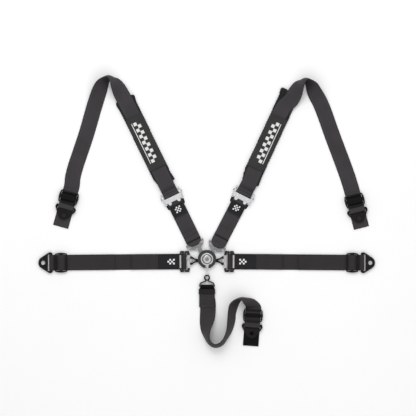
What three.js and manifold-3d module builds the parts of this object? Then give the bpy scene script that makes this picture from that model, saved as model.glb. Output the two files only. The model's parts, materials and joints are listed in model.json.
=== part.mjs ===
// A five-point racing harness laid out flat: rotary cam-lock buckle, two lap straps, two padded
// shoulder straps and a crotch strap, all in 2 inch webbing, each ending in a bolt-in anchor plate.
// Units are millimetres, +Z is up and z = 0 is the surface the harness lies on. The origin is on the
// axis of the rotary buckle, +Y runs towards the shoulder straps and +X towards the right lap strap.
import * as THREE from 'three';
import { mergeVertices } from 'three/addons/utils/BufferGeometryUtils.js';
import Module from 'manifold-3d';

const wasm = await Module();
wasm.setup();

// ---------- Driving dimensions ----------

const WEB_WIDTH = 50.8;
const WEB_THICK = 1.6;
const LAYER_STEP = 2.2; // centre to centre of two layers of webbing lying on each other
const FLOOR_LAYER = 1.2; // centre height of a layer that lies on the floor
const SECOND_LAYER = FLOOR_LAYER + LAYER_STEP;
const SLEEVE = 0.4; // air between a layer of webbing and the bar that it wraps
const BEND_STEPS = 3; // stations round a bend of more than about 60 degrees, after its first

const TONGUE_Z = 5.5; // underside of every tongue
const TONGUE_THICK = 2.5;
const TONGUE_MID_Z = TONGUE_Z + TONGUE_THICK / 2;
const TIP_RADIUS = 6.5;
const TIP_HOLE_RADIUS = 3.75;
const PIN_CIRCLE = 17; // distance of the latch pins from the buckle's axis

const BUCKLE = {
  flat: 29.5, // distance from the axis to a flat of the eight-sided body
  corner: 9,
  cavity: 24,
  bottom: 3.4,
  shoulder: 12.5,
  top: 17,
  crownRadius: 26.5,
  ceiling: 13.7,
  slotBottom: 5,
  slotTop: 8.6,
  screwCircle: 26.8,
};
const BACK_PLATE = { bottom: 0, top: 3 };
const SCREW_ANGLES = [22, 158, 226.5, 313.5];
const SCREW = { shank: 1.25, hole: 1.6, head: 3, headTop: 1.6, seat: 3.4, seatTop: 1.9 };
const KNOB = {
  radius: 20,
  bottom: 17.5,
  top: 22.5,
  boss: 24,
  groove: 15.5, // outer radius of the turned step round the boss
  leverReach: 39.8,
  leverRoot: 8.2,
  leverTip: 2.6,
  keyway: 3.9,
  screwHead: 6,
  screwSeat: 6.4,
};
const CAM = { shaft: 4.9, flange: 11.5, flangeZ: [9.6, 11.6], key: 3.5, keyTop: 20.6, notch: 2.4, bore: 1.8 };
const SPRING = { radius: 6.15, wire: 0.5, turns: 3.5, bottom: 4.6, height: 4.1 };
const LATCH_PIN = { radius: 3, bottom: 9, top: 12.5 };
const LEAF = { outer: 9, inner: 6.2, bottom: 12.8, top: 13.4, finger: 1.6 };

const LAP = {
  axisY: -4.5, // the lap tongues leave the buckle a little below its centre
  slope: 0.5, // degrees that the strap runs down towards its anchor
  hinge: 52, // distance of the tongue's cross bar from the buckle's axis
  legSpread: 14.5,
  frameOffset: 3, // the adjuster sits this much lower than the tongue
  bar: 73.4,
  barZ: 6.1,
  barRadius: 3.5,
  freeEnd: 248,
  slideLeft: 475, // distance of the end slides from the buckle's axis
  slideRight: 473,
};
const LAP_FRAME = {
  inner: 56, // edge towards the buckle
  outer: 89,
  wallInner: 27.2,
  wallOuter: 29.2,
  wallBottom: 1.8,
  wallTop: 12.8,
  flangeReach: 34.5,
  loopHalf: 5.8,
};
const LAP_LABEL = { half: 23, start: 93, end: 160, thick: 0.7 };
const SHOULDER_LABEL = { half: 23, start: -60, end: -22, bottom: 5.9, thick: 0.7 };

const SHOULDER_LEFT = {
  side: -1,
  tongueAngle: 37.4, // of the neck, from +Y
  strapAngle: 26,
  tongueBar: 65.7,
  strapLength: 161.5, // from the tongue's bar to the middle of the adjuster
  padAngle: 25.9,
  padStart: 52,
  padEnd: 363,
  coverEnd: 295,
  apex: [-317.9, 591],
  legSlide: [-450.5, 200.5],
  legAngle: 15.5,
  legPoints: [[-368.4, 492.3], [-393.5, 405.5], [-435.9, 274.5]],
  tail: 99,
};
const SHOULDER_RIGHT = {
  side: 1,
  tongueAngle: 36.3,
  strapAngle: 27.3,
  tongueBar: 57.1,
  strapLength: 174.5,
  padAngle: 24.8,
  padStart: 52,
  padEnd: 382,
  coverEnd: 288,
  apex: [319.5, 582.5],
  legSlide: [480.5, 190.4],
  legAngle: 14.5,
  legPoints: [[372.3, 502], [406.8, 407.5], [456.1, 274.5]],
  tail: 92,
};
// From the apex of a shoulder strap's fold to its neighbours, outwards and down.
const FOLD_BEFORE = [[45, -64], [21.5, -21.5]];
const FOLD_AFTER = [[19.5, -15], [31.5, -41]];

const SHOULDER_BAR = { halfLength: 26.6, low: -3, high: 3.2 };
const ADJUSTER = {
  cheekInner: 31.2,
  cheekOuter: 33.8,
  loopBarY: -11,
  loopBarZ: 5.6,
  loopBarRadius: 2,
  pinY: 12,
  pinZ: 7.1,
  pinRadius: 2.5,
  leverInner: 28.2,
  leverOuter: 30.6,
  leverZ: 10.3,
};
const PAD = { width: 69, endLeft: 25, endRight: 33, thick: 8, bottom: 0.5, taper: 36 };
const STRAP_OVER_PAD = 9.8; // centre height of the strap where it lies on the pad
const COVER = { width: 62, thick: 1.6, length: 184, clearance: 0.5 };

const CROTCH = {
  ringY: -60.6,
  ringRadius: 10,
  ringHole: 5.5,
  pinCircle: 18,
  bar: 88, // distance of the cross bar from the buckle's axis
  barRadius: 2.5,
  bunched: 0.81, // share of its width that the webbing keeps where it wraps the tongue's bar
  doubledTo: 156,
  slide: [149.6, -183.5],
  slideAngle: 4.2,
  tail: 99.8,
};

const SLIDE = { halfLength: 20.5, halfWidth: 33.5, thick: 3, barWidth: 5, centreBar: 9, opening: 26.6 };
const PLATE = {
  innerEdge: 28,
  barWidth: 7,
  slotEnd: 43,
  halfWidth: 34,
  holeY: 58.7,
  holeRadius: 7,
  tip: 74,
  thick: 3,
  loopHalfHeight: 4.1,
  loopEnd: 38.5,
};
const LAP_END = { slideZ: 5, plateZ: FLOOR_LAYER + PLATE.loopHalfHeight, doubled: 176 };
const TAIL_END = { slideZ: 7, plateZ: SECOND_LAYER + PLATE.loopHalfHeight };

// ---------- Finishes ----------

const FINISH = {
  webbing: { color: 0x45404a, roughness: 0.85, metalness: 0 },
  lapWebbing: { color: 0x37333a, roughness: 0.85, metalness: 0 },
  padding: { color: 0x222224, roughness: 0.95, metalness: 0 },
  label: { color: 0x151517, roughness: 0.8, metalness: 0 },
  blackSteel: { color: 0x1b1b1d, roughness: 0.45, metalness: 0.7 },
  greySteel: { color: 0x8a8a8c, roughness: 0.4, metalness: 0.9 },
  aluminium: { color: 0xdadadc, roughness: 0.3, metalness: 1 },
  castAlloy: { color: 0x3e3e40, roughness: 0.5, metalness: 0.8 },
  springSteel: { color: 0x9a9a98, roughness: 0.35, metalness: 1 },
};

const harness = new THREE.Group();

function addPiece(name, geometry, finish, parent = harness) {
  const mesh = new THREE.Mesh(geometry, new THREE.MeshStandardMaterial(finish));
  mesh.name = name;
  parent.add(mesh);
  return mesh;
}

// ---------- Joining and cutting ----------

function toSolid(geometry) {
  const bare = geometry.index ? geometry.toNonIndexed() : geometry.clone();
  bare.deleteAttribute('normal');
  bare.deleteAttribute('uv');
  const merged = mergeVertices(bare, 1e-4);
  return new wasm.Manifold(new wasm.Mesh({
    numProp: 3,
    vertProperties: merged.attributes.position.array,
    triVerts: new Uint32Array(merged.index.array),
  }));
}

function toGeometry(solid) {
  const mesh = solid.getMesh();
  const geometry = new THREE.BufferGeometry();
  geometry.setAttribute('position', new THREE.BufferAttribute(mesh.vertProperties, 3));
  geometry.setIndex(new THREE.BufferAttribute(mesh.triVerts, 1));
  return geometry;
}

function join(...geometries) {
  return toGeometry(geometries.map(toSolid).reduce((whole, piece) => whole.add(piece)));
}

function cut(body, ...tools) {
  return toGeometry(tools.map(toSolid).reduce((whole, tool) => whole.subtract(tool), toSolid(body)));
}

// ---------- Simple solids and outlines ----------

const degrees = THREE.MathUtils.degToRad;

// A box from the lowest and highest value on each axis.
function block([x0, x1], [y0, y1], [z0, z1]) {
  const box = new THREE.BoxGeometry(x1 - x0, y1 - y0, z1 - z0);
  return box.translate((x0 + x1) / 2, (y0 + y1) / 2, (z0 + z1) / 2);
}

function upright(radius, z0, z1, x = 0, y = 0, segments = 24) {
  const cylinder = new THREE.CylinderGeometry(radius, radius, z1 - z0, segments);
  return cylinder.rotateX(Math.PI / 2).translate(x, y, (z0 + z1) / 2);
}

// A round bar lying across the strap, centred on x.
function crossBar(radius, x0, x1, y, z, segments = 16) {
  const cylinder = new THREE.CylinderGeometry(radius, radius, x1 - x0, segments);
  return cylinder.rotateZ(Math.PI / 2).translate((x0 + x1) / 2, y, z);
}

function slab(shape, z0, z1, curveSegments = 8) {
  const options = { depth: z1 - z0, bevelEnabled: false, curveSegments };
  return new THREE.ExtrudeGeometry(shape, options).translate(0, 0, z0);
}

// A closed outline through the corners given, each rounded by its own third value.
function roundedOutline(corners) {
  const shape = new THREE.Shape();
  corners.forEach(([x, y, radius], i) => {
    const corner = new THREE.Vector2(x, y);
    const before = new THREE.Vector2(...corners.at(i - 1)).sub(corner);
    const after = new THREE.Vector2(...corners[(i + 1) % corners.length]).sub(corner);
    const trim = Math.min(radius, before.length() * 0.49, after.length() * 0.49);
    const start = corner.clone().add(before.setLength(trim));
    const end = corner.clone().add(after.setLength(trim));
    if (i === 0) shape.moveTo(start.x, start.y);
    else shape.lineTo(start.x, start.y);
    shape.quadraticCurveTo(corner.x, corner.y, end.x, end.y);
  });
  shape.closePath();
  return shape;
}

function mirroredOutline(rightHalf) {
  const leftHalf = rightHalf.map(([x, y, radius]) => [-x, y, radius]).reverse();
  return roundedOutline([...rightHalf, ...leftHalf]);
}

// The outline round two circles and the two lines that touch both, on the local y axis.
function linkOutline(y0, radius0, y1, radius1) {
  const lean = Math.asin((radius0 - radius1) / (y1 - y0));
  const shape = new THREE.Shape();
  shape.absarc(0, y0, radius0, Math.PI - lean, Math.PI * 2 + lean, false);
  shape.absarc(0, y1, radius1, lean, Math.PI - lean, false);
  shape.closePath();
  return shape;
}

// The outline of a band of one width along a flat curve.
function bandOutline(curve, width, steps = 8) {
  const left = [];
  const right = [];
  for (let i = 0; i <= steps; i += 1) {
    const point = curve.getPoint(i / steps);
    const tangent = curve.getTangent(i / steps);
    const side = new THREE.Vector2(tangent.y, -tangent.x).multiplyScalar(width / 2);
    left.push(point.clone().sub(side));
    right.push(point.clone().add(side));
  }
  return new THREE.Shape([...right, ...left.reverse()]);
}

function circlePath(x, y, radius) {
  return new THREE.Path().absarc(x, y, radius, 0, Math.PI * 2, true);
}

function boxPath([x0, x1], [y0, y1]) {
  return new THREE.Path([[x0, y0], [x0, y1], [x1, y1], [x1, y0]].map((p) => new THREE.Vector2(...p)));
}

// ---------- Webbing ----------

// The direction along the strap at one station, and the direction across it. That is made square to the
// first one, except where the strap is skewed on purpose.
function stationFrame(stations, i) {
  const { centre, across, skewed } = stations[i];
  const back = centre.clone().sub(stations[Math.max(i - 1, 0)].centre).normalize();
  const ahead = stations[Math.min(i + 1, stations.length - 1)].centre.clone().sub(centre).normalize();
  const tangent = back.add(ahead).normalize();
  const lean = skewed ? 0 : -across.dot(tangent);
  return { tangent, across: across.clone().addScaledVector(tangent, lean).normalize() };
}

// A strap is a row of stations: the middle of the webbing, the direction across it and, where it is
// bunched, the share of its full width (spread).
class WebbingPath extends THREE.Curve {
  constructor(stations) {
    super();
    this.stations = stations;
  }

  getPoint(t) {
    const place = t * (this.stations.length - 1);
    const index = Math.min(Math.floor(place), this.stations.length - 2);
    const next = this.stations[index + 1].centre;
    return this.stations[index].centre.clone().lerp(next, place - index);
  }

  getSpacedPoints() {
    return this.stations.map((station) => station.centre);
  }

  computeFrenetFrames() {
    const frames = { tangents: [], normals: [], binormals: [] };
    this.stations.forEach((station, i) => {
      const { tangent, across } = stationFrame(this.stations, i);
      frames.tangents.push(tangent);
      frames.binormals.push(tangent.clone().cross(across).normalize());
      frames.normals.push(across.multiplyScalar(station.spread ?? 1));
    });
    return frames;
  }
}

function webbing(stations, width = WEB_WIDTH, thick = WEB_THICK) {
  const section = new THREE.Shape([
    new THREE.Vector2(-width / 2, -thick / 2),
    new THREE.Vector2(width / 2, -thick / 2),
    new THREE.Vector2(width / 2, thick / 2),
    new THREE.Vector2(-width / 2, thick / 2),
  ]);
  const options = { steps: stations.length - 1, extrudePath: new WebbingPath(stations) };
  return new THREE.ExtrudeGeometry(section, options);
}

// Rounds the corners of a [distance along, height] line. A third value on a corner is its radius.
function roundedLine(corners) {
  const points = [new THREE.Vector2(corners[0][0], corners[0][1])];
  for (let i = 1; i < corners.length - 1; i += 1) {
    const corner = new THREE.Vector2(corners[i][0], corners[i][1]);
    const before = new THREE.Vector2(corners[i - 1][0], corners[i - 1][1]).sub(corner);
    const after = new THREE.Vector2(corners[i + 1][0], corners[i + 1][1]).sub(corner);
    const radius = corners[i][2] ?? 2;
    const turn = Math.PI - before.angleTo(after);
    const trim = Math.min(radius * Math.tan(turn / 2), before.length() * 0.48, after.length() * 0.48);
    const start = corner.clone().add(before.setLength(trim));
    const end = corner.clone().add(after.setLength(trim));
    const steps = turn > 1 ? BEND_STEPS : 1;
    points.push(...new THREE.QuadraticBezierCurve(start, corner, end).getPoints(steps));
  }
  const [lastAlong, lastHeight] = corners.at(-1);
  points.push(new THREE.Vector2(lastAlong, lastHeight));
  return points;
}

// Stations of a strap that stays over one straight line on the floor. The line starts at origin and
// runs at heading degrees anticlockwise from +Y. A strap that lies face down has its sides changed over.
function straightRun(corners, origin = [0, 0], heading = 0, faceDown = false) {
  const along = new THREE.Vector3(-Math.sin(degrees(heading)), Math.cos(degrees(heading)), 0);
  const across = new THREE.Vector3(along.y, -along.x, 0).multiplyScalar(faceDown ? -1 : 1);
  const start = new THREE.Vector3(origin[0], origin[1], 0);
  return roundedLine(corners).map((point) => ({
    centre: start.clone().addScaledVector(along, point.x).setZ(point.y),
    across,
  }));
}

// Stations of a strap that turns on the floor. Each control is [x, y, height of the lower edge, roll]:
// at roll 0 the strap lies face up, at 90 it stands on one edge and at 180 it lies face down.
function turningRun(controls, side, stepsPerSpan = 4) {
  const plan = new THREE.CatmullRomCurve3(controls.map(([x, y]) => new THREE.Vector3(x, y, 0)));
  const lift = new THREE.SplineCurve(controls.map(([, , height], i) => new THREE.Vector2(i, height)));
  const roll = new THREE.SplineCurve(controls.map(([, , , angle], i) => new THREE.Vector2(i, angle)));
  const spans = controls.length - 1;
  const stations = [];
  for (let i = 0; i <= spans * stepsPerSpan; i += 1) {
    const t = i / (spans * stepsPerSpan);
    const angle = degrees(roll.getPoint(t).y);
    const tangent = plan.getTangent(t);
    const across = new THREE.Vector3(tangent.y, -tangent.x, 0).multiplyScalar(Math.cos(angle));
    across.z = -side * Math.sin(angle);
    stations.push({ centre: plan.getPoint(t), across, floor: lift.getPoint(t).y });
  }
  for (let pass = 0; pass < 4; pass += 1) {
    const rises = stations.map((station, i) => Math.abs(stationFrame(stations, i).across.z));
    stations.forEach((station, i) => {
      station.centre.z = station.floor + (WEB_WIDTH / 2) * rises[i];
    });
  }
  return stations;
}

// Stations of a strap that folds over while standing on its lower edge. Each control is the place on the
// floor plan of the lower edge and of the upper edge: the closer they are, the steeper the strap stands.
function foldingRun(controls, lowest, stepsPerSpan = 2) {
  const lower = new THREE.CatmullRomCurve3(controls.map(([x, y]) => new THREE.Vector3(x, y, 0)));
  const upper = new THREE.CatmullRomCurve3(controls.map(([, , x, y]) => new THREE.Vector3(x, y, 0)));
  const steps = (controls.length - 1) * stepsPerSpan;
  const stations = [];
  for (let i = 1; i < steps; i += 1) {
    const low = lower.getPoint(i / steps);
    const high = upper.getPoint(i / steps);
    const rise = Math.sqrt(Math.max(WEB_WIDTH ** 2 - low.distanceToSquared(high), 0));
    low.z = lowest;
    high.z = lowest + rise;
    const centre = low.clone().add(high).multiplyScalar(0.5);
    stations.push({ centre, across: low.sub(high).normalize(), skewed: true });
  }
  return stations;
}

// Where the two edges of a strap are on the floor plan at one station: across points to the first one.
function edgePlan({ centre, across }) {
  const reach = across.clone().multiplyScalar(WEB_WIDTH / 2);
  return [centre.x + reach.x, centre.y + reach.y, centre.x - reach.x, centre.y - reach.y];
}

function pointAlong([x, y], heading, distance) {
  return [x - Math.sin(degrees(heading)) * distance, y + Math.cos(degrees(heading)) * distance];
}

// ---------- Buckle ----------

function octagon(flat, corner) {
  const reach = flat / Math.cos(Math.PI / 8);
  const corners = [];
  for (let i = 0; i < 8; i += 1) {
    const angle = Math.PI / 8 + (i * Math.PI) / 4;
    corners.push([reach * Math.cos(angle), reach * Math.sin(angle), corner]);
  }
  return roundedOutline(corners);
}

function radialSlot(angle, width, offsetY = 0) {
  const reach = BUCKLE.flat + 6;
  const height = [BUCKLE.slotBottom, BUCKLE.slotTop];
  const slot = block([-width / 2, width / 2], [BUCKLE.cavity - 6, reach], height);
  return slot.rotateZ(degrees(angle)).translate(0, offsetY, 0);
}

function screwPlaces() {
  return SCREW_ANGLES.map((angle) => [
    BUCKLE.screwCircle * Math.cos(degrees(angle)),
    BUCKLE.screwCircle * Math.sin(degrees(angle)),
  ]);
}

function buckleHousing() {
  const tongueSlot = 2 * TIP_RADIUS + 1.6;
  const crotchSlot = 2 * CROTCH.ringRadius + 1;
  const body = join(
    slab(octagon(BUCKLE.flat, BUCKLE.corner), BUCKLE.bottom, BUCKLE.shoulder, 4),
    upright(BUCKLE.crownRadius, BUCKLE.shoulder - 1, BUCKLE.top, 0, 0, 48),
  );
  return cut(
    body,
    upright(BUCKLE.cavity, BUCKLE.bottom - 1, BUCKLE.ceiling, 0, 0, 28),
    upright(CAM.shaft + 0.9, BUCKLE.bottom, BUCKLE.top + 1, 0, 0, 16),
    radialSlot(-90, tongueSlot, LAP.axisY),
    radialSlot(90, tongueSlot, LAP.axisY),
    radialSlot(SHOULDER_LEFT.tongueAngle, tongueSlot),
    radialSlot(-SHOULDER_RIGHT.tongueAngle, tongueSlot),
    radialSlot(180, crotchSlot),
    ...screwPlaces().map(([x, y]) => upright(SCREW.hole, BUCKLE.bottom - 1, BUCKLE.shoulder - 1.5, x, y, 8)),
  );
}

function backPlate() {
  const plate = slab(octagon(BUCKLE.flat, BUCKLE.corner), BACK_PLATE.bottom, BACK_PLATE.top, 4);
  return cut(
    plate,
    ...screwPlaces().map(([x, y]) => upright(SCREW.hole, BACK_PLATE.bottom - 1, BACK_PLATE.top + 1, x, y, 8)),
    ...screwPlaces().map(([x, y]) => upright(SCREW.seat, BACK_PLATE.bottom - 1, SCREW.seatTop, x, y, 10)),
  );
}

function backScrew(x, y) {
  const head = upright(SCREW.head, 0.5, SCREW.headTop, x, y, 10);
  return join(head, upright(SCREW.shank, SCREW.headTop - 0.1, BUCKLE.shoulder - 2.5, x, y, 8));
}

function releaseKnob() {
  const rim = [
    [0, KNOB.bottom],
    [KNOB.radius - 0.8, KNOB.bottom],
    [KNOB.radius, KNOB.bottom + 1],
    [KNOB.radius, KNOB.top - 1.6],
    [KNOB.radius - 1.8, KNOB.top],
    [KNOB.groove, KNOB.top],
    [KNOB.groove - 0.7, KNOB.top - 0.8],
    [KNOB.groove - 1.9, KNOB.top - 0.8],
    [KNOB.groove - 2.6, KNOB.boss - 0.6],
    [KNOB.groove - 3.9, KNOB.boss],
    [0, KNOB.boss],
  ];
  const disc = new THREE.LatheGeometry(rim.map((p) => new THREE.Vector2(...p)), 48).rotateX(Math.PI / 2);
  const outline = linkOutline(0, KNOB.leverRoot, KNOB.leverReach, KNOB.leverTip);
  const lever = slab(outline, KNOB.bottom + 1, KNOB.top + 0.9, 8);
  const keyway = [-KNOB.keyway, KNOB.keyway];
  return cut(
    join(disc, lever.rotateZ(Math.PI)),
    block(keyway, keyway, [KNOB.bottom - 1, CAM.keyTop + 0.4]),
    upright(CAM.bore, CAM.keyTop, KNOB.boss + 1, 0, 0, 12),
    upright(KNOB.screwSeat, KNOB.boss - 1.2, KNOB.boss + 1, 0, 0, 24),
  );
}

// The centre screw has two blind holes for a pin spanner.
function knobScrew() {
  const screw = join(
    upright(KNOB.screwHead, KNOB.boss - 0.9, KNOB.boss + 0.5, 0, 0, 24),
    upright(1.4, 11, KNOB.boss - 0.8, 0, 0, 8),
  );
  const holes = [-2.6, 2.6].map((y) => upright(1, KNOB.boss - 0.3, KNOB.boss + 1, 0, y, 8));
  return cut(screw, ...holes);
}

function camSpindle() {
  const [flangeBottom, flangeTop] = CAM.flangeZ;
  const key = [-CAM.key, CAM.key];
  const spindle = join(
    upright(CAM.shaft, BUCKLE.bottom + 0.6, BUCKLE.top + 0.1, 0, 0, 14),
    upright(CAM.flange, flangeBottom, flangeTop, 0, 0, 20),
    block(key, key, [BUCKLE.top, CAM.keyTop]),
  );
  const notches = [];
  for (let i = 0; i < 5; i += 1) {
    const angle = degrees(-90 + i * 72);
    const place = [CAM.flange * Math.cos(angle), CAM.flange * Math.sin(angle)];
    notches.push(upright(CAM.notch, flangeBottom - 1, flangeTop + 1, ...place, 8));
  }
  return cut(spindle, upright(CAM.bore, flangeBottom - 1, CAM.keyTop + 1, 0, 0, 12), ...notches);
}

class Coil extends THREE.Curve {
  getPoint(t) {
    const angle = t * SPRING.turns * Math.PI * 2;
    const height = SPRING.bottom + t * SPRING.height;
    return new THREE.Vector3(SPRING.radius * Math.cos(angle), SPRING.radius * Math.sin(angle), height);
  }
}

function returnSpring() {
  const wire = new THREE.Shape().absarc(0, 0, SPRING.wire, 0, Math.PI * 2);
  return new THREE.ExtrudeGeometry(wire, { steps: 40, curveSegments: 2, extrudePath: new Coil() });
}

function pinPlaces() {
  const [leftX, leftY] = pointAlong([0, 0], SHOULDER_LEFT.tongueAngle, PIN_CIRCLE);
  const [rightX, rightY] = pointAlong([0, 0], -SHOULDER_RIGHT.tongueAngle, PIN_CIRCLE);
  return {
    lap_left: [-PIN_CIRCLE, LAP.axisY],
    lap_right: [PIN_CIRCLE, LAP.axisY],
    shoulder_left: [leftX, leftY],
    shoulder_right: [rightX, rightY],
    crotch: [0, -CROTCH.pinCircle],
  };
}

function leafSpring() {
  const ring = cut(
    upright(LEAF.outer, LEAF.bottom, LEAF.top, 0, 0, 16),
    upright(LEAF.inner, LEAF.bottom - 1, LEAF.top + 1, 0, 0, 16),
  );
  const fingers = Object.values(pinPlaces()).map(([x, y]) => {
    const reach = [LEAF.inner + 0.8, Math.hypot(x, y) + 1.5];
    const finger = block([-LEAF.finger, LEAF.finger], reach, [LEAF.bottom, LEAF.top]);
    return finger.rotateZ(Math.atan2(-x, y));
  });
  return join(ring, ...fingers);
}

function addBuckle() {
  addPiece('buckle_housing', buckleHousing(), FINISH.castAlloy);
  addPiece('buckle_back_plate', backPlate(), FINISH.aluminium);
  addPiece('release_knob', releaseKnob(), FINISH.aluminium);
  addPiece('knob_screw', knobScrew(), FINISH.aluminium);
  addPiece('cam_spindle', camSpindle(), FINISH.greySteel);
  addPiece('return_spring', returnSpring(), FINISH.springSteel);
  addPiece('latch_leaf_spring', leafSpring(), FINISH.springSteel);
  for (const [name, [x, y]] of Object.entries(pinPlaces())) {
    const pin = upright(LATCH_PIN.radius, LATCH_PIN.bottom, LATCH_PIN.top, x, y, 12);
    addPiece(`latch_pin_${name}`, pin, FINISH.greySteel);
  }
  screwPlaces().forEach(([x, y], i) => addPiece(`back_screw_${i + 1}`, backScrew(x, y), FINISH.greySteel));
}

// ---------- Slides and anchor plates, in the strap's own frame with y towards the anchor ----------

function threeBarSlide(z) {
  const { halfLength, halfWidth, barWidth, centreBar, opening } = SLIDE;
  const outline = mirroredOutline([
    [halfWidth - 4, -halfLength, 5],
    [halfWidth, 0, 30],
    [halfWidth - 4, halfLength, 5],
  ]);
  const inner = centreBar / 2;
  const outer = halfLength - barWidth;
  outline.holes.push(boxPath([-opening, opening], [inner, outer]));
  outline.holes.push(boxPath([-opening, opening], [-outer, -inner]));
  return slab(outline, z, z + SLIDE.thick, 3);
}

function anchorPlate(middleZ) {
  const { innerEdge, halfWidth, barWidth, slotEnd, holeY, holeRadius, tip, thick } = PLATE;
  const outline = mirroredOutline([
    [halfWidth - 3, innerEdge, 3],
    [halfWidth, innerEdge + 5, 5],
    [halfWidth, innerEdge + 11, 6],
    [11, tip, 13],
  ]);
  outline.holes.push(boxPath([-SLIDE.opening, SLIDE.opening], [innerEdge + barWidth, slotEnd]));
  outline.holes.push(circlePath(0, holeY, holeRadius));
  return slab(outline, middleZ - thick / 2, middleZ + thick / 2, 6);
}

function addStrapEnd(name, origin, heading, levels) {
  const end = new THREE.Group();
  end.position.set(origin[0], origin[1], 0);
  end.rotation.z = degrees(heading);
  harness.add(end);
  addPiece(`${name}_slide`, threeBarSlide(levels.slideZ), FINISH.blackSteel, end);
  addPiece(`${name}_anchor_plate`, anchorPlate(levels.plateZ), FINISH.blackSteel, end);
}

// The strap weaves over the middle bar of the slide, wraps the bar of the plate and comes back on top.
function lapEndCorners() {
  const crest = LAP_END.slideZ + SLIDE.thick + 1.3;
  const rise = crest - FLOOR_LAYER;
  const foot = 5.5 + rise;
  const lean = LAYER_STEP * Math.tan(Math.PI / 8);
  const top = crest + LAYER_STEP;
  const loopTop = LAP_END.plateZ + PLATE.loopHalfHeight;
  return [
    [-foot, FLOOR_LAYER],
    [-5.5, crest],
    [5.5, crest],
    [foot, FLOOR_LAYER],
    [PLATE.loopEnd, FLOOR_LAYER, PLATE.loopHalfHeight],
    [PLATE.loopEnd, loopTop, PLATE.loopHalfHeight],
    [27.5, loopTop],
    [21.3, SECOND_LAYER],
    [foot + lean, SECOND_LAYER],
    [5.5 + lean, top],
    [-5.5 - lean, top],
    [-foot - lean, SECOND_LAYER],
    [-LAP_END.doubled, SECOND_LAYER],
  ];
}

// Here the strap comes back underneath, turns at the slide and leaves its tail under the plate.
function tailEndCorners(tail) {
  const crest = TAIL_END.slideZ + SLIDE.thick + 1.3;
  const third = SECOND_LAYER + LAYER_STEP;
  const loopTop = TAIL_END.plateZ + PLATE.loopHalfHeight;
  return [
    [-26, FLOOR_LAYER],
    [-20.5, FLOOR_LAYER + 1.8],
    [-14.8, FLOOR_LAYER + 1.8],
    [-6.5, crest],
    [6.5, crest],
    [12.2, third],
    [21.3, third],
    [27.3, loopTop],
    [PLATE.loopEnd, loopTop, PLATE.loopHalfHeight],
    [PLATE.loopEnd, SECOND_LAYER, PLATE.loopHalfHeight],
    [-4, SECOND_LAYER, LAYER_STEP / 2],
    [-4, FLOOR_LAYER, LAYER_STEP / 2],
    [tail, FLOOR_LAYER],
  ];
}

function shifted(corners, distance) {
  return corners.map(([along, height, radius]) => [along + distance, height, radius]);
}

// ---------- Lap straps, in a frame with y running out from the buckle ----------

function lapTongue() {
  const legs = [-1, 1].map((side) => {
    const curve = new THREE.QuadraticBezierCurve(
      new THREE.Vector2(side * 2.6, 29),
      new THREE.Vector2(side * 4, 43),
      new THREE.Vector2(side * (LAP.legSpread - 1.5), LAP.hinge),
    );
    return slab(bandOutline(curve, 5, 8), TONGUE_Z, TONGUE_Z + TONGUE_THICK);
  });
  const neck = slab(linkOutline(PIN_CIRCLE, TIP_RADIUS, 33, 4.6), TONGUE_Z, TONGUE_Z + TONGUE_THICK, 5);
  const bar = crossBar(2.3, -LAP.legSpread, LAP.legSpread, LAP.hinge, TONGUE_MID_Z, 10);
  const body = join(neck, ...legs, bar);
  return cut(body, upright(TIP_HOLE_RADIUS, TONGUE_Z - 1, TONGUE_Z + TONGUE_THICK + 1, 0, PIN_CIRCLE, 16));
}

// The range from near to far on one side of a middle line.
function between(side, middle, near, far) {
  return side > 0 ? [middle + near, middle + far] : [middle - far, middle - near];
}

function lapAdjusterFrame(offset) {
  const { inner, outer, wallInner, wallOuter, wallBottom, wallTop, flangeReach, loopHalf } = LAP_FRAME;
  const plateZ = [TONGUE_MID_Z - 1, TONGUE_MID_Z + 1];
  const wall = (side) => {
    const upstand = between(side, offset, wallInner, wallOuter);
    const flange = between(side, offset, wallOuter - 0.2, flangeReach);
    return [
      block(upstand, [inner, outer], [wallBottom, wallTop]),
      block(flange, [inner + 2, outer - 2], [wallBottom, wallBottom + 1.6]),
    ];
  };
  const width = [offset - wallInner - 0.8, offset + wallInner + 0.8];
  const frame = join(
    block(width, [inner, inner + 7.5], plateZ),
    block([-loopHalf, loopHalf], [LAP.hinge, inner + 1], plateZ),
    block(width, [outer - 5, outer], plateZ),
    crossBar(4.6, -loopHalf, loopHalf, LAP.hinge, TONGUE_MID_Z, 14),
    ...wall(1),
    ...wall(-1),
  );
  return cut(
    frame,
    crossBar(2.9, -12, 12, LAP.hinge, TONGUE_MID_Z, 12),
    block([offset - 36, offset + 36], [LAP.bar - 3.8, LAP.bar + 2.6], [LAP.barZ - 2.2, LAP.barZ + 2.2]),
  );
}

function lapAdjusterBar(offset) {
  const grip = LAP_FRAME.wallInner - 0.4;
  return join(
    crossBar(LAP.barRadius, offset - grip, offset + grip, LAP.bar, LAP.barZ, 14),
    crossBar(1.8, offset - 33, offset + 33, LAP.bar, LAP.barZ, 8),
    crossBar(2.2, ...between(1, offset, 31, LAP_FRAME.flangeReach), LAP.bar, LAP.barZ, 8),
    crossBar(2.2, ...between(-1, offset, 31, LAP_FRAME.flangeReach), LAP.bar, LAP.barZ, 8),
  );
}

function labelPatch({ half, start, end, thick }, bottom) {
  const outline = roundedOutline([[-half, start, 3], [half, start, 3], [half, end, 3], [-half, end, 3]]);
  return slab(outline, bottom, bottom + thick, 3);
}

function lapStrap(slide) {
  const overBar = LAP.barZ + LAP.barRadius + 0.6 + WEB_THICK / 2;
  const inner = LAP.bar - 6;
  const bend = 4.3;
  return webbing(straightRun([
    [LAP.freeEnd, SECOND_LAYER],
    [83.2, SECOND_LAYER],
    [77.2, overBar, bend],
    [inner, overBar, bend],
    [inner, FLOOR_LAYER, bend],
    ...shifted(lapEndCorners(), slide),
  ]));
}

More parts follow.
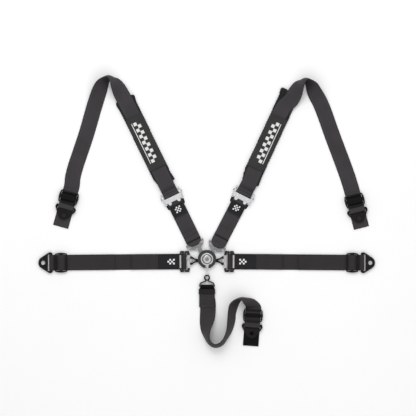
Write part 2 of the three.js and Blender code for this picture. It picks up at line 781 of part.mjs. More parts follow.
function addLap(name, side, slide) {
  const group = new THREE.Group();
  const offset = side * LAP.frameOffset;
  group.position.y = LAP.axisY;
  group.rotation.z = degrees(-side * (90 + LAP.slope));
  harness.add(group);
  addPiece(`lap_tongue_${name}`, lapTongue(), FINISH.blackSteel, group);
  addPiece(`lap_adjuster_frame_${name}`, lapAdjusterFrame(offset), FINISH.greySteel, group);
  addPiece(`lap_adjuster_bar_${name}`, lapAdjusterBar(offset), FINISH.blackSteel, group);
  addPiece(`lap_strap_${name}`, lapStrap(slide).translate(offset, 0, 0), FINISH.lapWebbing, group);
  const labelZ = SECOND_LAYER + WEB_THICK / 2 + 0.3;
  const label = labelPatch(LAP_LABEL, labelZ).translate(offset, 0, 0);
  addPiece(`lap_label_${name}`, label, FINISH.label, group);
  const corner = pointAlong([0, LAP.axisY], -side * (90 + LAP.slope), slide);
  addStrapEnd(`lap_${name}`, [corner[0], corner[1] - LAP.frameOffset], -side * (90 + LAP.slope), LAP_END);
}

// ---------- Shoulder straps ----------

// The head is turned to face the strap, the neck points at the buckle's axis.
function shoulderTongue(strap) {
  const top = TONGUE_Z + TONGUE_THICK;
  const { halfLength, low, high } = SHOULDER_BAR;
  const head = mirroredOutline([
    [10, -21, 6],
    [25, -14, 8],
    [halfLength + 4.4, -2, 4],
    [halfLength + 4.4, high, 3],
  ]);
  head.holes.push(boxPath([-halfLength, halfLength], [-9.5, low]));
  const window = [[-5.5, -14], [0, -23], [5.5, -14]].map((p) => new THREE.Vector2(...p));
  const turn = degrees(strap.side * (strap.tongueAngle - strap.strapAngle));
  const headSolid = slab(head, TONGUE_Z, top, 4).rotateZ(turn).translate(0, strap.tongueBar, 0);
  const neck = slab(linkOutline(PIN_CIRCLE, TIP_RADIUS, strap.tongueBar - 20, 7), TONGUE_Z, top, 4);
  const hole = upright(TIP_HOLE_RADIUS, TONGUE_Z - 1, top + 1, 0, PIN_CIRCLE, 12);
  const light = slab(new THREE.Shape(window), TONGUE_Z - 1, top + 1).rotateZ(turn);
  return cut(join(headSolid, neck), hole, light.translate(0, strap.tongueBar, 0));
}

function lowerStrap(strap) {
  const bar = SHOULDER_BAR.high + 0.15 + SLEEVE + WEB_THICK / 2;
  const low = TONGUE_MID_Z - bar;
  const high = TONGUE_MID_Z + bar;
  const loopRadius = ADJUSTER.loopBarRadius + SLEEVE + WEB_THICK / 2;
  const loopY = strap.strapLength + ADJUSTER.loopBarY;
  const loopLow = ADJUSTER.loopBarZ - loopRadius;
  const loopHigh = ADJUSTER.loopBarZ + loopRadius;
  return webbing(straightRun([
    [26, low + LAYER_STEP],
    [11, low + LAYER_STEP],
    [3, high, 4],
    [-bar, high, bar],
    [-bar, low, bar],
    [loopY + loopRadius, loopLow, loopRadius],
    [loopY + loopRadius, loopHigh, loopRadius],
    [loopY - 2, loopHigh],
    [loopY - 8, loopLow + LAYER_STEP],
    [loopY - 52, loopLow + LAYER_STEP],
  ]));
}

function adjusterFrame() {
  const { cheekInner, cheekOuter, loopBarY, loopBarZ, pinY, pinZ } = ADJUSTER;
  const cheek = (side) => {
    const width = side > 0 ? [cheekInner, cheekOuter] : [-cheekOuter, -cheekInner];
    return join(
      block(width, [-14.5, 18], [1.8, 11]),
      block(width, [17, 29], [1.8, 7.5]),
    );
  };
  const frame = join(
    cheek(1),
    cheek(-1),
    crossBar(ADJUSTER.loopBarRadius, -cheekInner - 1, cheekInner + 1, loopBarY, loopBarZ, 10),
    block([-cheekInner - 1, cheekInner + 1], [22, 28], [0.9, 2.1]),
  );
  return cut(frame, crossBar(ADJUSTER.pinRadius + 0.3, -cheekOuter - 1, cheekOuter + 1, pinY, pinZ, 12));
}

function adjusterPin() {
  const { cheekOuter, pinRadius, pinY, pinZ } = ADJUSTER;
  const ends = [cheekOuter + 0.5, cheekOuter + 3.5];
  const head = (side) => crossBar(3.6, ...between(side, 0, ...ends), pinY, pinZ, 12);
  return join(crossBar(pinRadius, -35, 35, pinY, pinZ, 16), head(1), head(-1));
}

function adjusterLever() {
  const { leverInner, leverOuter, leverZ, pinY, pinZ, pinRadius } = ADJUSTER;
  const top = leverZ + 2;
  const front = -9;
  const tab = (x) => slab(roundedOutline([
    [x - 6, front + 2, 0.5],
    [x - 5, front - 5, 1],
    [x - 1.5, front - 8.5, 2],
    [x + 2.5, front - 8.5, 2],
    [x + 6, front - 4, 1],
    [x + 6, front + 2, 0.5],
  ]), leverZ, top, 1);
  const lug = (side) => {
    const width = side > 0 ? [leverInner, leverOuter] : [-leverOuter, -leverInner];
    return join(
      block(width, [front, pinY], [pinZ - 1, top]),
      crossBar(4.2, width[0], width[1], pinY, pinZ, 12),
    );
  };
  const rib = (y) => block([-leverInner, leverInner], [y - 0.7, y + 0.7], [top - 0.2, top + 0.6]);
  const lever = join(
    block([-leverOuter, leverOuter], [front, 6.8], [leverZ, top]),
    ...[-16, 16].map(tab),
    ...[-1, 1].map(lug),
    ...[-4, 0, 4].map(rib),
  );
  return cut(lever, crossBar(pinRadius + 0.3, -leverOuter - 1, leverOuter + 1, pinY, pinZ, 12));
}

function pullTab() {
  return slab(mirroredOutline([[30, -30, 6], [32.5, 2, 6]]), 0.3, 1.3, 4);
}

// The end towards the buckle tapers, and shows more to the right of the strap than to its left.
function pad(strap) {
  const { width, endLeft, endRight, thick, bottom, taper } = PAD;
  const half = width / 2;
  const outline = roundedOutline([
    [-endLeft, strap.padStart, 6],
    [endRight, strap.padStart, 6],
    [half, strap.padStart + taper, 14],
    [half, strap.padEnd, 7],
    [-half, strap.padEnd, 7],
    [-half, strap.padStart + taper, 14],
  ]);
  return slab(outline, bottom, bottom + thick, 3);
}

// The cover is a flap that closes over the strap: a flat top with a skirt down each side.
function padCover(strap) {
  const { width, thick, length, clearance } = COVER;
  const from = strap.coverEnd - length;
  const to = strap.coverEnd;
  const roof = STRAP_OVER_PAD + WEB_THICK / 2 + clearance;
  const foot = PAD.bottom + PAD.thick + 0.3;
  const half = width / 2;
  return join(
    block([-half, half], [from, to], [roof, roof + thick]),
    block([-half, -half + thick], [from, to], [foot, roof + 0.5]),
    block([half - thick, half], [from, to], [foot, roof + 0.5]),
  );
}

function upperStrap(strap, middle) {
  const heading = -strap.side * strap.strapAngle;
  const pinTop = ADJUSTER.pinZ + ADJUSTER.pinRadius + SLEEVE + WEB_THICK / 2;
  const pinBottom = 2 * ADJUSTER.pinZ - pinTop;
  const bend = pinTop - ADJUSTER.pinZ;
  const stub = pinBottom + LAYER_STEP;
  const throughAdjuster = straightRun([
    [30, stub],
    [21, stub],
    [16.5, pinTop, bend],
    [ADJUSTER.pinY - bend, pinTop, bend],
    [ADJUSTER.pinY - bend, pinBottom, bend],
    [31, pinBottom],
    [41, STRAP_OVER_PAD],
    [46, STRAP_OVER_PAD],
  ], middle, heading);
  const beside = ([out, up]) => [strap.apex[0] - strap.side * out, strap.apex[1] + up];
  const beyond = ([out, up]) => [strap.apex[0] + strap.side * out, strap.apex[1] + up];
  const padHeading = -strap.side * strap.padAngle;
  const slideHeading = strap.side * (strap.legAngle - 180);
  const turning = turningRun([
    [...pointAlong(middle, heading, 56), STRAP_OVER_PAD, 0],
    [...pointAlong(middle, padHeading, 120), STRAP_OVER_PAD, 0],
    [...pointAlong(middle, padHeading, strap.padEnd - 60), STRAP_OVER_PAD, 0],
    [...beside(FOLD_BEFORE[0]), STRAP_OVER_PAD, 0],
    [...beside(FOLD_BEFORE[1]), 9, 40],
    [...strap.apex, 1.6, 90],
    [...beyond(FOLD_AFTER[0]), 1.4, 130],
    [...beyond(FOLD_AFTER[1]), 1.4, 160],
    [...strap.legPoints[0], 1.3, 177],
    [...strap.legPoints[1], FLOOR_LAYER, 180],
    [...strap.legPoints[2], FLOOR_LAYER, 180],
    [...pointAlong(strap.legSlide, slideHeading, -40), FLOOR_LAYER, 180],
  ], -strap.side);
  const throughSlide = straightRun(
    [[-32, FLOOR_LAYER], ...tailEndCorners(strap.tail)],
    strap.legSlide,
    slideHeading,
    true,
  );
  return webbing([...throughAdjuster, ...turning, ...throughSlide]);
}

function addShoulder(name, strap) {
  const neckHeading = -strap.side * strap.tongueAngle;
  const strapHeading = -strap.side * strap.strapAngle;
  const barPlace = pointAlong([0, 0], neckHeading, strap.tongueBar);
  const middle = pointAlong(barPlace, strapHeading, strap.strapLength);

  const tongue = addPiece(`shoulder_tongue_${name}`, shoulderTongue(strap), FINISH.greySteel);
  tongue.rotation.z = degrees(neckHeading);

  const lower = new THREE.Group();
  lower.position.set(barPlace[0], barPlace[1], 0);
  lower.rotation.z = degrees(strapHeading);
  harness.add(lower);
  addPiece(`shoulder_lower_strap_${name}`, lowerStrap(strap), FINISH.webbing, lower);

  const adjuster = new THREE.Group();
  adjuster.position.set(middle[0], middle[1], 0);
  adjuster.rotation.z = degrees(strapHeading);
  harness.add(adjuster);
  addPiece(`adjuster_frame_${name}`, adjusterFrame(), FINISH.aluminium, adjuster);
  addPiece(`adjuster_lever_${name}`, adjusterLever(), FINISH.aluminium, adjuster);
  addPiece(`adjuster_pin_${name}`, adjusterPin(), FINISH.greySteel, adjuster);
  addPiece(`pull_tab_${name}`, pullTab(), FINISH.label, adjuster);
  const label = labelPatch(SHOULDER_LABEL, SHOULDER_LABEL.bottom);
  addPiece(`shoulder_label_${name}`, label, FINISH.label, adjuster);

  addPiece(`shoulder_upper_strap_${name}`, upperStrap(strap, middle), FINISH.webbing);

  const padGroup = new THREE.Group();
  padGroup.position.set(middle[0], middle[1], 0);
  padGroup.rotation.z = degrees(-strap.side * strap.padAngle);
  harness.add(padGroup);
  addPiece(`shoulder_pad_${name}`, pad(strap), FINISH.padding, padGroup);
  addPiece(`pad_cover_${name}`, padCover(strap), FINISH.padding, padGroup);

  addStrapEnd(`shoulder_${name}`, strap.legSlide, strap.side * (strap.legAngle - 180), TAIL_END);
}

// ---------- Crotch strap ----------

function crotchTongue() {
  const top = TONGUE_Z + TONGUE_THICK;
  const ringY = -CROTCH.ringY;
  const legs = [-1, 1].map((side) => {
    const curve = new THREE.CubicBezierCurve(
      new THREE.Vector2(side * 2.5, ringY + 7),
      new THREE.Vector2(side * 6, ringY + 17),
      new THREE.Vector2(side * 24.4, ringY + 11),
      new THREE.Vector2(side * 23.6, CROTCH.bar),
    );
    return slab(bandOutline(curve, 4, 10), TONGUE_Z, top);
  });
  const ring = upright(CROTCH.ringRadius, TONGUE_Z, top, 0, ringY, 32);
  const bar = crossBar(CROTCH.barRadius, -25.4, 25.4, CROTCH.bar, TONGUE_MID_Z, 10);
  return cut(join(ring, ...legs, bar), upright(CROTCH.ringHole, TONGUE_Z - 1, top + 1, 0, ringY, 28));
}

function crotchKeeper() {
  const half = WEB_WIDTH / 2 + 0.5;
  const outside = block([-half - 1, half + 1], [CROTCH.bar + 10, CROTCH.bar + 26], [0.2, 7.2]);
  return cut(outside, block([-half, half], [CROTCH.bar + 9, CROTCH.bar + 27], [1.2, 6.2]));
}

function crotchStrap() {
  const loop = CROTCH.barRadius + 2 * SLEEVE + WEB_THICK / 2;
  const low = TONGUE_MID_Z - loop;
  const layers = 2.6;
  const atTongue = straightRun([
    [CROTCH.doubledTo, layers + LAYER_STEP],
    [CROTCH.bar + 8, layers + LAYER_STEP],
    [CROTCH.bar + 2, TONGUE_MID_Z + loop, 3],
    [CROTCH.bar - loop, TONGUE_MID_Z + loop, loop],
    [CROTCH.bar - loop, low, loop],
    [CROTCH.bar + 5, low],
    [CROTCH.bar + 9, layers],
    [CROTCH.bar + 40, layers],
  ], [0, 0], 180);
  atTongue.forEach((station) => {
    const clear = (-station.centre.y - CROTCH.bar - 1) / 9;
    station.spread = THREE.MathUtils.lerp(CROTCH.bunched, 1, THREE.MathUtils.smoothstep(clear, 0, 1));
  });
  const slideHeading = 180 - CROTCH.slideAngle;
  const turning = turningRun([
    [2.6, -CROTCH.bar - 48, layers, 0],
    [3.2, -160, 2.2, 3],
    [1.5, -190, 1.6, 14],
    [-3, -231, 1.4, 52],
    [4.9, -264, 1.4, 76],
    [24.5, -280, 1.4, 76],
    [46, -274, 1.4, 74],
    [61.9, -254.3, 1.4, 72],
    [72.4, -231, 1.4, 66],
    [79, -200, 1.4, 58],
    [80.5, -178, 1.6, 58],
    [84.4, -158, 2, 54],
  ], 1, 3);
  const throughSlide = straightRun(tailEndCorners(CROTCH.tail), CROTCH.slide, slideHeading, true);
  const folding = foldingRun([
    edgePlan(turning.at(-1)),
    [103.5, -149, 74, -144],
    [108, -141, 84, -134],
    [113.5, -134.5, 97, -129.5],
    [121, -129.5, 108.5, -130],
    [131, -127.2, 114.5, -136],
    [144, -127.8, 117.3, -140.5],
    [156.5, -132.5, 120, -144.5],
    [167.5, -141.5, 122.8, -148.5],
    [174.3, -149.5, 125.2, -151.8],
    edgePlan(throughSlide[0]),
  ], FLOOR_LAYER);
  return webbing([...atTongue, ...turning, ...folding, ...throughSlide]);
}

function addCrotch() {
  const facing = new THREE.Group();
  facing.rotation.z = Math.PI;
  harness.add(facing);
  addPiece('crotch_tongue', crotchTongue(), FINISH.blackSteel, facing);
  addPiece('crotch_keeper', crotchKeeper(), FINISH.label, facing);
  addPiece('crotch_strap', crotchStrap(), FINISH.webbing);
  addStrapEnd('crotch', CROTCH.slide, 180 - CROTCH.slideAngle, TAIL_END);
}

addBuckle();
addLap('left', -1, LAP.slideLeft);
addLap('right', 1, LAP.slideRight);
addShoulder('left', SHOULDER_LEFT);
addShoulder('right', SHOULDER_RIGHT);
addCrotch();

export default harness;
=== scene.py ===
"""Looks of a five-point racing harness laid out flat on a pale floor, built round its CAD frame.

The straps are woven ribbons that follow the edges of their CAD solids, the shoulder pads are cloth
blown up by simulation, and the covers, labels, seams and marks are sewn on top. The metal pieces are
the CAD solids themselves with softened edges. Units are metres, +Z is up, +X runs along the right lap
strap and +Y towards the shoulder straps.
"""
import json
import math

import bmesh
import bpy
import numpy as np
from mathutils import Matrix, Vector, noise
from mathutils.bvhtree import BVHTree


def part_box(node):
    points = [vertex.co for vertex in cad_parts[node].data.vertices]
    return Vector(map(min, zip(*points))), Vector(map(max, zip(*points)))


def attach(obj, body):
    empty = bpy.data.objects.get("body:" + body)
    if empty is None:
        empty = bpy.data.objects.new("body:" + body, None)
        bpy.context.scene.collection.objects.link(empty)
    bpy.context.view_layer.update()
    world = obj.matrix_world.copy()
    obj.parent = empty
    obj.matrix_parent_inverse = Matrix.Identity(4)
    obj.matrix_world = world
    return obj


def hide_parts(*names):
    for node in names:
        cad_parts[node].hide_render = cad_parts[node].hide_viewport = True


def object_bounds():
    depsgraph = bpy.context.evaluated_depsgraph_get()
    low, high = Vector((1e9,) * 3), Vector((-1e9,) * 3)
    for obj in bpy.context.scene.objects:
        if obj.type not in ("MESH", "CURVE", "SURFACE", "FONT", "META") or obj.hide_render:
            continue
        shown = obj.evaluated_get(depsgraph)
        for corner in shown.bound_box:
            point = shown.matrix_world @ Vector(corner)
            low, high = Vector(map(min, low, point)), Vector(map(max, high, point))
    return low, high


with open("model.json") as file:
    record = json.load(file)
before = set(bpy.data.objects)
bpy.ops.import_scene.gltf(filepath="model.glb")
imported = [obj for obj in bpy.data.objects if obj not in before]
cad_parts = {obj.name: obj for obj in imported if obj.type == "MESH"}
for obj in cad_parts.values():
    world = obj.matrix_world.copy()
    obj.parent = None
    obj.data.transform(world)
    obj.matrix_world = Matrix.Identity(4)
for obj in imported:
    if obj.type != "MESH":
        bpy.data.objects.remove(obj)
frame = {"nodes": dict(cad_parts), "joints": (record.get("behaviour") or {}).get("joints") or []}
cad_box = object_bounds()

MM = 0.001
SIDES = ("left", "right")

WEB_WIDTH = 50.8 * MM
WEB_THICK = 1.5 * MM
PANEL_WIDTH = 6.35 * MM  # between two turns of the herringbone
RIB_GAP = 2.1 * MM
YARN_GAP = 1.27 * MM
WEFT_GAP = 0.9 * MM
SELVEDGE = 2.2 * MM
ZONE_RADIUS = 52 * MM
PINSTRIPE = (5 * MM, 6.2 * MM)  # from the edge of the webbing
STATION_GAP = 5 * MM  # longest step between two cross-sections of a ribbon
BEND_REACH = 12 * MM  # how far before a corner its bend may begin
LOOP_CORNER = 20 * MM  # radius of the round corners of a loop on a tongue
LOOP_SLACK = 3.4 * MM  # how far a loop hangs loose round the bar of its tongue
BOW = 7 * MM  # how far the middle of a strap bulges where it stands on edge in a bend
ACROSS_POINTS = 9

STITCH_STEP = 3.4 * MM
STITCH_LENGTH = 2.7 * MM
STITCH_WIDTH = 0.8 * MM
STITCH_HEIGHT = 0.35 * MM
STITCH_DEPTH = 0.3 * MM
SEAM_HALF = 23 * MM
SEAM_GAP = 3 * MM
BOX_HALF = 21 * MM
# half length and width of the painted shadow line across each shoulder loop
SHADOW_LINE_HALF = 24 * MM
SHADOW_LINE_WIDTH = 7 * MM
MARK_HEIGHT = 0.35 * MM
MARK_DEPTH = 0.2 * MM
MARK_SLOPE = 0.25 * MM

LAP_SEAMS = ((138 * MM, 3), (191 * MM, 2))  # place from the tongue's bar, and rows of stitches
LAP_LAYER_END = 245.5 * MM  # where the doubled part of a lap strap ends
ABOVE = 1.0  # height from which points are dropped onto a surface

VOXEL = 4 * MM
CLOTH_FRAMES = 20
PAD_SWELL = 3.5 * MM
PAD_SHOULDER = 2.2 * MM  # how far a pad rises beside the strap
STRAP_UNDERSIDE = 8.75 * MM  # top of the pad where the strap presses on it

FOLD_SHADOW_LINE = {"left": 9 * MM, "right": 28 * MM}  # from the tongue's bar to the painted shadow line across its loop

SQUARE = 11 * MM  # of the printed chequers on a cover
PRINT_SPAN = (22 * MM, 165 * MM)
PRINT_LINE = (-17 * MM, -14.6 * MM)
COVER_SIDE = 2.8 * MM  # how far a cover reaches past the strap
COVER_ROWS = 64
COVER_COLUMNS = 29
COVER_WRINKLE = 0.45 * MM
COVER_THICK = 0.9 * MM

PICTURE_CENTRE = Vector((0.0033, 0.1663, 0))
PICTURE_WIDTH = 1.356
CAMERA_HEIGHT = 6.0


# ---------- Node materials ----------

class Surface:
    """A node material being built, with short ways to add its nodes."""

    def __init__(self, name, roughness, metallic=0.0):
        self.material = bpy.data.materials.new(name)
        self.material.use_nodes = True
        self.tree = self.material.node_tree
        self.shader = self.tree.nodes["Principled BSDF"]
        self.set(Roughness=roughness, Metallic=metallic)

    def set(self, **values):
        for key, value in values.items():
            self.feed(self.shader.inputs[key.replace("_", " ")], value)

    def feed(self, socket, value):
        if isinstance(value, bpy.types.NodeSocket):
            self.tree.links.new(value, socket)
        else:
            socket.default_value = value

    def node(self, kind, inputs=(), **settings):
        made = self.tree.nodes.new("ShaderNode" + kind)
        for key, value in settings.items():
            setattr(made, key, value)
        for key, value in dict(inputs).items():
            self.feed(made.inputs[key], value)
        return made

    def maths(self, operation, *values):
        made = self.node("Math", operation=operation)
        for socket, value in zip(made.inputs, values):
            self.feed(socket, value)
        return made.outputs[0]

    def place(self):
        """Position on the object at rest, in metres."""
        return self.node("TexCoord").outputs["Object"]

    def weave_place(self):
        """Distance across and distance along a ribbon, in metres."""
        split = self.node("SeparateXYZ", {"Vector": self.node("UVMap", uv_map="weave").outputs[0]})
        return split.outputs["X"], split.outputs["Y"]

    def vector(self, x, y, z=0.0):
        return self.node("CombineXYZ", {"X": x, "Y": y, "Z": z}).outputs[0]

    def noise(self, vector, scale, detail=2.0):
        made = self.node("TexNoise", {"Vector": vector, "Scale": scale, "Detail": detail})
        return made.outputs["Fac"]

    def wave(self, value, period):
        """A smooth wave from 0 to 1."""
        turned = self.maths("SINE", self.maths("MULTIPLY", value, 2 * math.pi / period))
        return self.maths("MULTIPLY_ADD", turned, 0.5, 0.5)

    def range(self, value, low, high, to_low=0.0, to_high=1.0):
        made = self.node("MapRange", {"Value": value, "From Min": low, "From Max": high,
                                      "To Min": to_low, "To Max": to_high})
        return made.outputs[0]

    def between(self, value, low, high):
        """1 where value lies from low to high, else 0."""
        above = self.maths("GREATER_THAN", value, low)
        return self.maths("MULTIPLY", above, self.maths("LESS_THAN", value, high))

    def blend(self, factor, first, second):
        made = self.node("Mix", data_type="RGBA")
        self.feed(made.inputs["Factor"], factor)
        for socket, colour in ((made.inputs["A"], first), (made.inputs["B"], second)):
            self.feed(socket, colour if isinstance(colour, bpy.types.NodeSocket) else (*colour, 1.0))
        return made.outputs["Result"]

    def colour(self, socket):
        self.feed(self.shader.inputs["Base Color"], socket)

    def bump(self, height, distance, strength=1.0, over=None):
        made = self.node("Bump", {"Height": height, "Distance": distance, "Strength": strength})
        if over is not None:
            self.feed(made.inputs["Normal"], over)
        self.feed(self.shader.inputs["Normal"], made.outputs[0])
        return made.outputs[0]


def scaled(colour, factor):
    return tuple(min(channel * factor, 1.0) for channel in colour)


def in_zone(made, middle, heading, reach):
    """1 in the band within reach of middle along heading, and near enough to be on the same strap."""
    away = made.node("VectorMath", {0: made.place(), 1: middle}, operation="SUBTRACT")
    away = away.outputs["Vector"]
    length = made.node("VectorMath", {0: away}, operation="LENGTH").outputs["Value"]
    ahead = made.node("VectorMath", {0: away, 1: heading}, operation="DOT_PRODUCT").outputs["Value"]
    near = made.maths("LESS_THAN", length, ZONE_RADIUS)
    return made.maths("MULTIPLY", made.between(ahead, -reach, reach), near)


def webbing_surface(name, colour, zones=()):
    """Woven polyester: herringbone ribs, fine yarns, firm woven edges and slow changes of tone, with
    painted shade that darkens the weave's valleys and both edges of the strap.

    A zone is a band across the strap that is darkened nearly black: its middle, its heading and its
    reach to each side along that heading. Over a slide's middle bar the dark band is painted shade.
    """
    made = Surface(name, roughness=0.6)
    across, along = made.weave_place()
    panel = made.maths("PINGPONG", across, PANEL_WIDTH)
    twill = made.wave(made.maths("ADD", panel, made.maths("MULTIPLY", along, 0.8)), RIB_GAP)
    yarn = made.wave(across, YARN_GAP)
    weft = made.wave(along, WEFT_GAP)
    edge = made.maths("ABSOLUTE", made.maths("SUBTRACT", across, WEB_WIDTH / 2))
    selvedge_and_edge_shade = made.between(edge, WEB_WIDTH / 2 - SELVEDGE, WEB_WIDTH)
    pinstripe = made.between(edge, WEB_WIDTH / 2 - PINSTRIPE[1], WEB_WIDTH / 2 - PINSTRIPE[0])
    body = made.maths("ADD", made.maths("MULTIPLY", twill, 0.6), made.maths("MULTIPLY", yarn, 0.4))
    height = made.node("Mix", {"Factor": selvedge_and_edge_shade, "A": body, "B": weft}).outputs[0]
    thread_place = made.vector(made.maths("MULTIPLY", across, 900), made.maths("MULTIPLY", along, 14))
    streaks = made.noise(thread_place, 1)
    cloud = made.noise(made.place(), 16, 3)
    streaked = made.range(streaks, 0.3, 0.7, -0.09, 0.09)
    shade = made.maths("ADD", streaked, made.range(cloud, 0.3, 0.7, -0.12, 0.12))
    # painted shade: the weave's valleys darker and its ribs lighter
    shade = made.maths("ADD", shade, made.range(height, 0, 1, -0.1, 0.1))
    lit = made.blend(made.maths("ADD", shade, 0.5), scaled(colour, 0.45), scaled(colour, 1.55))
    marked = made.blend(made.maths("MULTIPLY", pinstripe, 0.35), lit, scaled(colour, 1.9))
    # painted shade: both edges of the strap darker, over a band along each edge
    woven = made.blend(made.maths("MULTIPLY", selvedge_and_edge_shade, 0.4), marked, scaled(colour, 0.6))
    black = 0.0
    # darken each zone nearly black; over a slide's middle bar this is painted shade
    for zone in zones:
        darkened_band = in_zone(made, *zone)
        woven = made.blend(made.maths("MULTIPLY", darkened_band, 0.94), woven, scaled(colour, 0.08))
        black = made.maths("MAXIMUM", black, darkened_band)
    made.colour(woven)
    ripple_place = made.vector(made.maths("MULTIPLY", across, 14), made.maths("MULTIPLY", along, 48))
    rippled = made.bump(made.noise(ripple_place, 1, 1), 1.6 * MM, 0.5)
    made.bump(height, 0.28 * MM, 0.8, over=rippled)
    made.set(Sheen_Weight=made.maths("MULTIPLY_ADD", black, -0.03, 0.04), Sheen_Roughness=0.45)
    made.set(Specular_IOR_Level=made.maths("MULTIPLY_ADD", black, -0.12, 0.22))
    made.set(Roughness=made.range(cloud, 0.2, 0.8, 0.55, 0.7))
    return made.material


def cloth(made, colour, thread=0.8 * MM, variation=0.2):
    """Plain-woven cloth on a piece of any shape. Returns the colour for further work."""
    split = made.node("SeparateXYZ", {"Vector": made.place()})
    first = made.wave(made.maths("ADD", split.outputs["X"], split.outputs["Y"]), thread)
    second = made.wave(made.maths("SUBTRACT", split.outputs["X"], split.outputs["Y"]), thread)
    weave = made.maths("MULTIPLY", first, second)
    cloud = made.noise(made.place(), 22, 3)
    # painted shade: darker in the weave's hollows, lighter on its crossings, added to random tone
    shade = made.maths("ADD", made.range(cloud, 0.3, 0.7, 0.5 - variation, 0.5 + variation),
                       made.range(weave, 0, 1, -0.15, 0.15))
    fuzz = made.noise(made.place(), 1400, 1)
    folds = made.bump(made.noise(made.place(), 45, 2), 1.2 * MM, 0.5)
    made.bump(made.maths("ADD", weave, made.maths("MULTIPLY", fuzz, 0.5)), 0.22 * MM, 0.8, over=folds)
    made.set(Sheen_Weight=0.03, Sheen_Roughness=0.5, Specular_IOR_Level=0.2)
    return made.blend(shade, scaled(colour, 0.5), scaled(colour, 1.5))


def padding_surface():
    made = Surface("padding_cloth", roughness=0.85)
    made.colour(cloth(made, (0.016, 0.016, 0.018)))
    return made.material


def label_surface():
    made = Surface("label_cloth", roughness=0.75)
    made.colour(cloth(made, (0.013, 0.012, 0.014), thread=0.5 * MM, variation=0.1))
    return made.material


def cover_surface():
    """Dark smooth cloth with a printed chequered band and one thin line beside it."""
    made = Surface("cover_cloth", roughness=0.7)
    across, along = made.weave_place()
    base = cloth(made, (0.032, 0.033, 0.032), thread=0.6 * MM, variation=0.12)
    column = made.maths("FLOOR", made.maths("DIVIDE", along, SQUARE))
    row = made.maths("FLOOR", made.maths("DIVIDE", across, SQUARE))
    chequer = made.maths("PINGPONG", made.maths("ADD", column, row), 1.0)
    span = made.between(along, *PRINT_SPAN)
    band = made.maths("MULTIPLY", span, made.between(across, -SQUARE, SQUARE))
    line = made.maths("MULTIPLY", span, made.between(across, *PRINT_LINE))
    printed = made.maths("MAXIMUM", made.maths("MULTIPLY", chequer, band), line)
    rub = made.range(made.noise(made.place(), 300, 3), 0.3, 0.75, 0.75, 1.0)
    made.colour(made.blend(made.maths("MULTIPLY", printed, rub), base, (0.82, 0.82, 0.8)))
    return made.material


def thread_surface(name, colour):
    """Twisted thread that catches a little light."""
    made = Surface(name, roughness=0.5)
    grain = made.noise(made.place(), 2500, 2)
    made.colour(made.blend(made.range(grain, 0.3, 0.7), scaled(colour, 0.7), scaled(colour, 1.3)))
    made.bump(grain, 0.1 * MM, 0.6)
    made.set(Sheen_Weight=0.02, Specular_IOR_Level=0.25)
    return made.material


def worn(made, radius):
    """1 on the edges of a metal piece, where its finish is rubbed."""
    soft = made.node("Bevel", {"Radius": radius}, samples=4)
    plain = made.node("NewGeometry").outputs["Normal"]
    dot = made.node("VectorMath", operation="DOT_PRODUCT")
    made.feed(dot.inputs[0], soft.outputs[0])
    made.feed(dot.inputs[1], plain)
    return made.range(dot.outputs["Value"], 0.97, 0.75), soft.outputs[0]


def coated_surface(name, colour, roughness):
    """Powder-coated metal: fine orange peel, and a little bare metal along the edges."""
    made = Surface(name, roughness)
    edge, soft = worn(made, 0.5 * MM)
    patchy = made.range(made.noise(made.place(), 260, 4), 0.45, 0.7)
    rub = made.maths("MULTIPLY", made.maths("MULTIPLY", edge, patchy), 0.55)
    cloud = made.noise(made.place(), 60, 3)
    coat = made.blend(cloud, scaled(colour, 0.8), scaled(colour, 1.25))
    made.colour(made.blend(rub, coat, (0.35, 0.35, 0.36)))
    made.set(Metallic=rub, Roughness=made.range(cloud, 0.25, 0.75, roughness - 0.06, roughness + 0.08))
    made.bump(made.noise(made.place(), 1500, 2), 0.05 * MM, 0.5, over=soft)
    made.set(Specular_IOR_Level=0.18)
    return made.material


def metal_surface(name, colour, roughness):
    """Brushed metal with grain along one direction, faint stains and brighter edges."""
    made = Surface(name, roughness, metallic=1.0)
    edge, soft = worn(made, 0.4 * MM)
    stretch = made.node("Mapping", {"Vector": made.place(), "Scale": (2.0, 40.0, 40.0)})
    brushed = made.noise(stretch.outputs[0], 60, 3)
    stain = made.noise(made.place(), 70, 3)
    base = made.blend(stain, scaled(colour, 0.86), scaled(colour, 1.08))
    made.colour(made.blend(made.maths("MULTIPLY", edge, 0.5), base, scaled(colour, 1.25)))
    rough = made.maths("ADD", made.range(brushed, 0.3, 0.7, -0.06, 0.08), roughness)
    made.set(Roughness=rough)
    made.bump(brushed, 0.04 * MM, 0.5, over=soft)
    return made.material


def turned_surface():
    """Turned aluminium: fine grooves round the buckle's axis."""
    made = Surface("turned_aluminium", 0.28, metallic=1.0)
    edge, soft = worn(made, 0.5 * MM)
    split = made.node("SeparateXYZ", {"Vector": made.place()})
    flat = made.vector(split.outputs["X"], split.outputs["Y"])
    radius = made.node("VectorMath", {0: flat}, operation="LENGTH").outputs["Value"]
    grooves = made.wave(radius, 0.55 * MM)
    stain = made.noise(made.place(), 90, 3)
    bright = made.blend(stain, (0.66, 0.66, 0.68), (0.86, 0.86, 0.87))
    step = made.between(radius, 12.6 * MM, 15.6 * MM)
    base = made.blend(step, bright, (0.07, 0.07, 0.07))
    made.colour(made.blend(made.maths("MULTIPLY", edge, 0.6), base, (0.97, 0.97, 0.97)))
    made.set(Roughness=made.range(stain, 0.3, 0.7, 0.24, 0.36))
    made.bump(grooves, 0.04 * MM, 0.6, over=soft)
    return made.material


def knurled_surface():
    """Bright steel with a diamond knurl."""
    made = Surface("knurled_steel", 0.35, metallic=1.0)
    split = made.node("SeparateXYZ", {"Vector": made.place()})
    first = made.wave(made.maths("ADD", split.outputs["X"], split.outputs["Z"]), 1.1 * MM)
    second = made.wave(made.maths("SUBTRACT", split.outputs["X"], split.outputs["Z"]), 1.1 * MM)
    diamonds = made.maths("MULTIPLY", first, second)
    made.colour(made.blend(diamonds, (0.3, 0.3, 0.31), (0.66, 0.66, 0.67)))
    made.bump(diamonds, 0.3 * MM, 0.8)
    return made.material


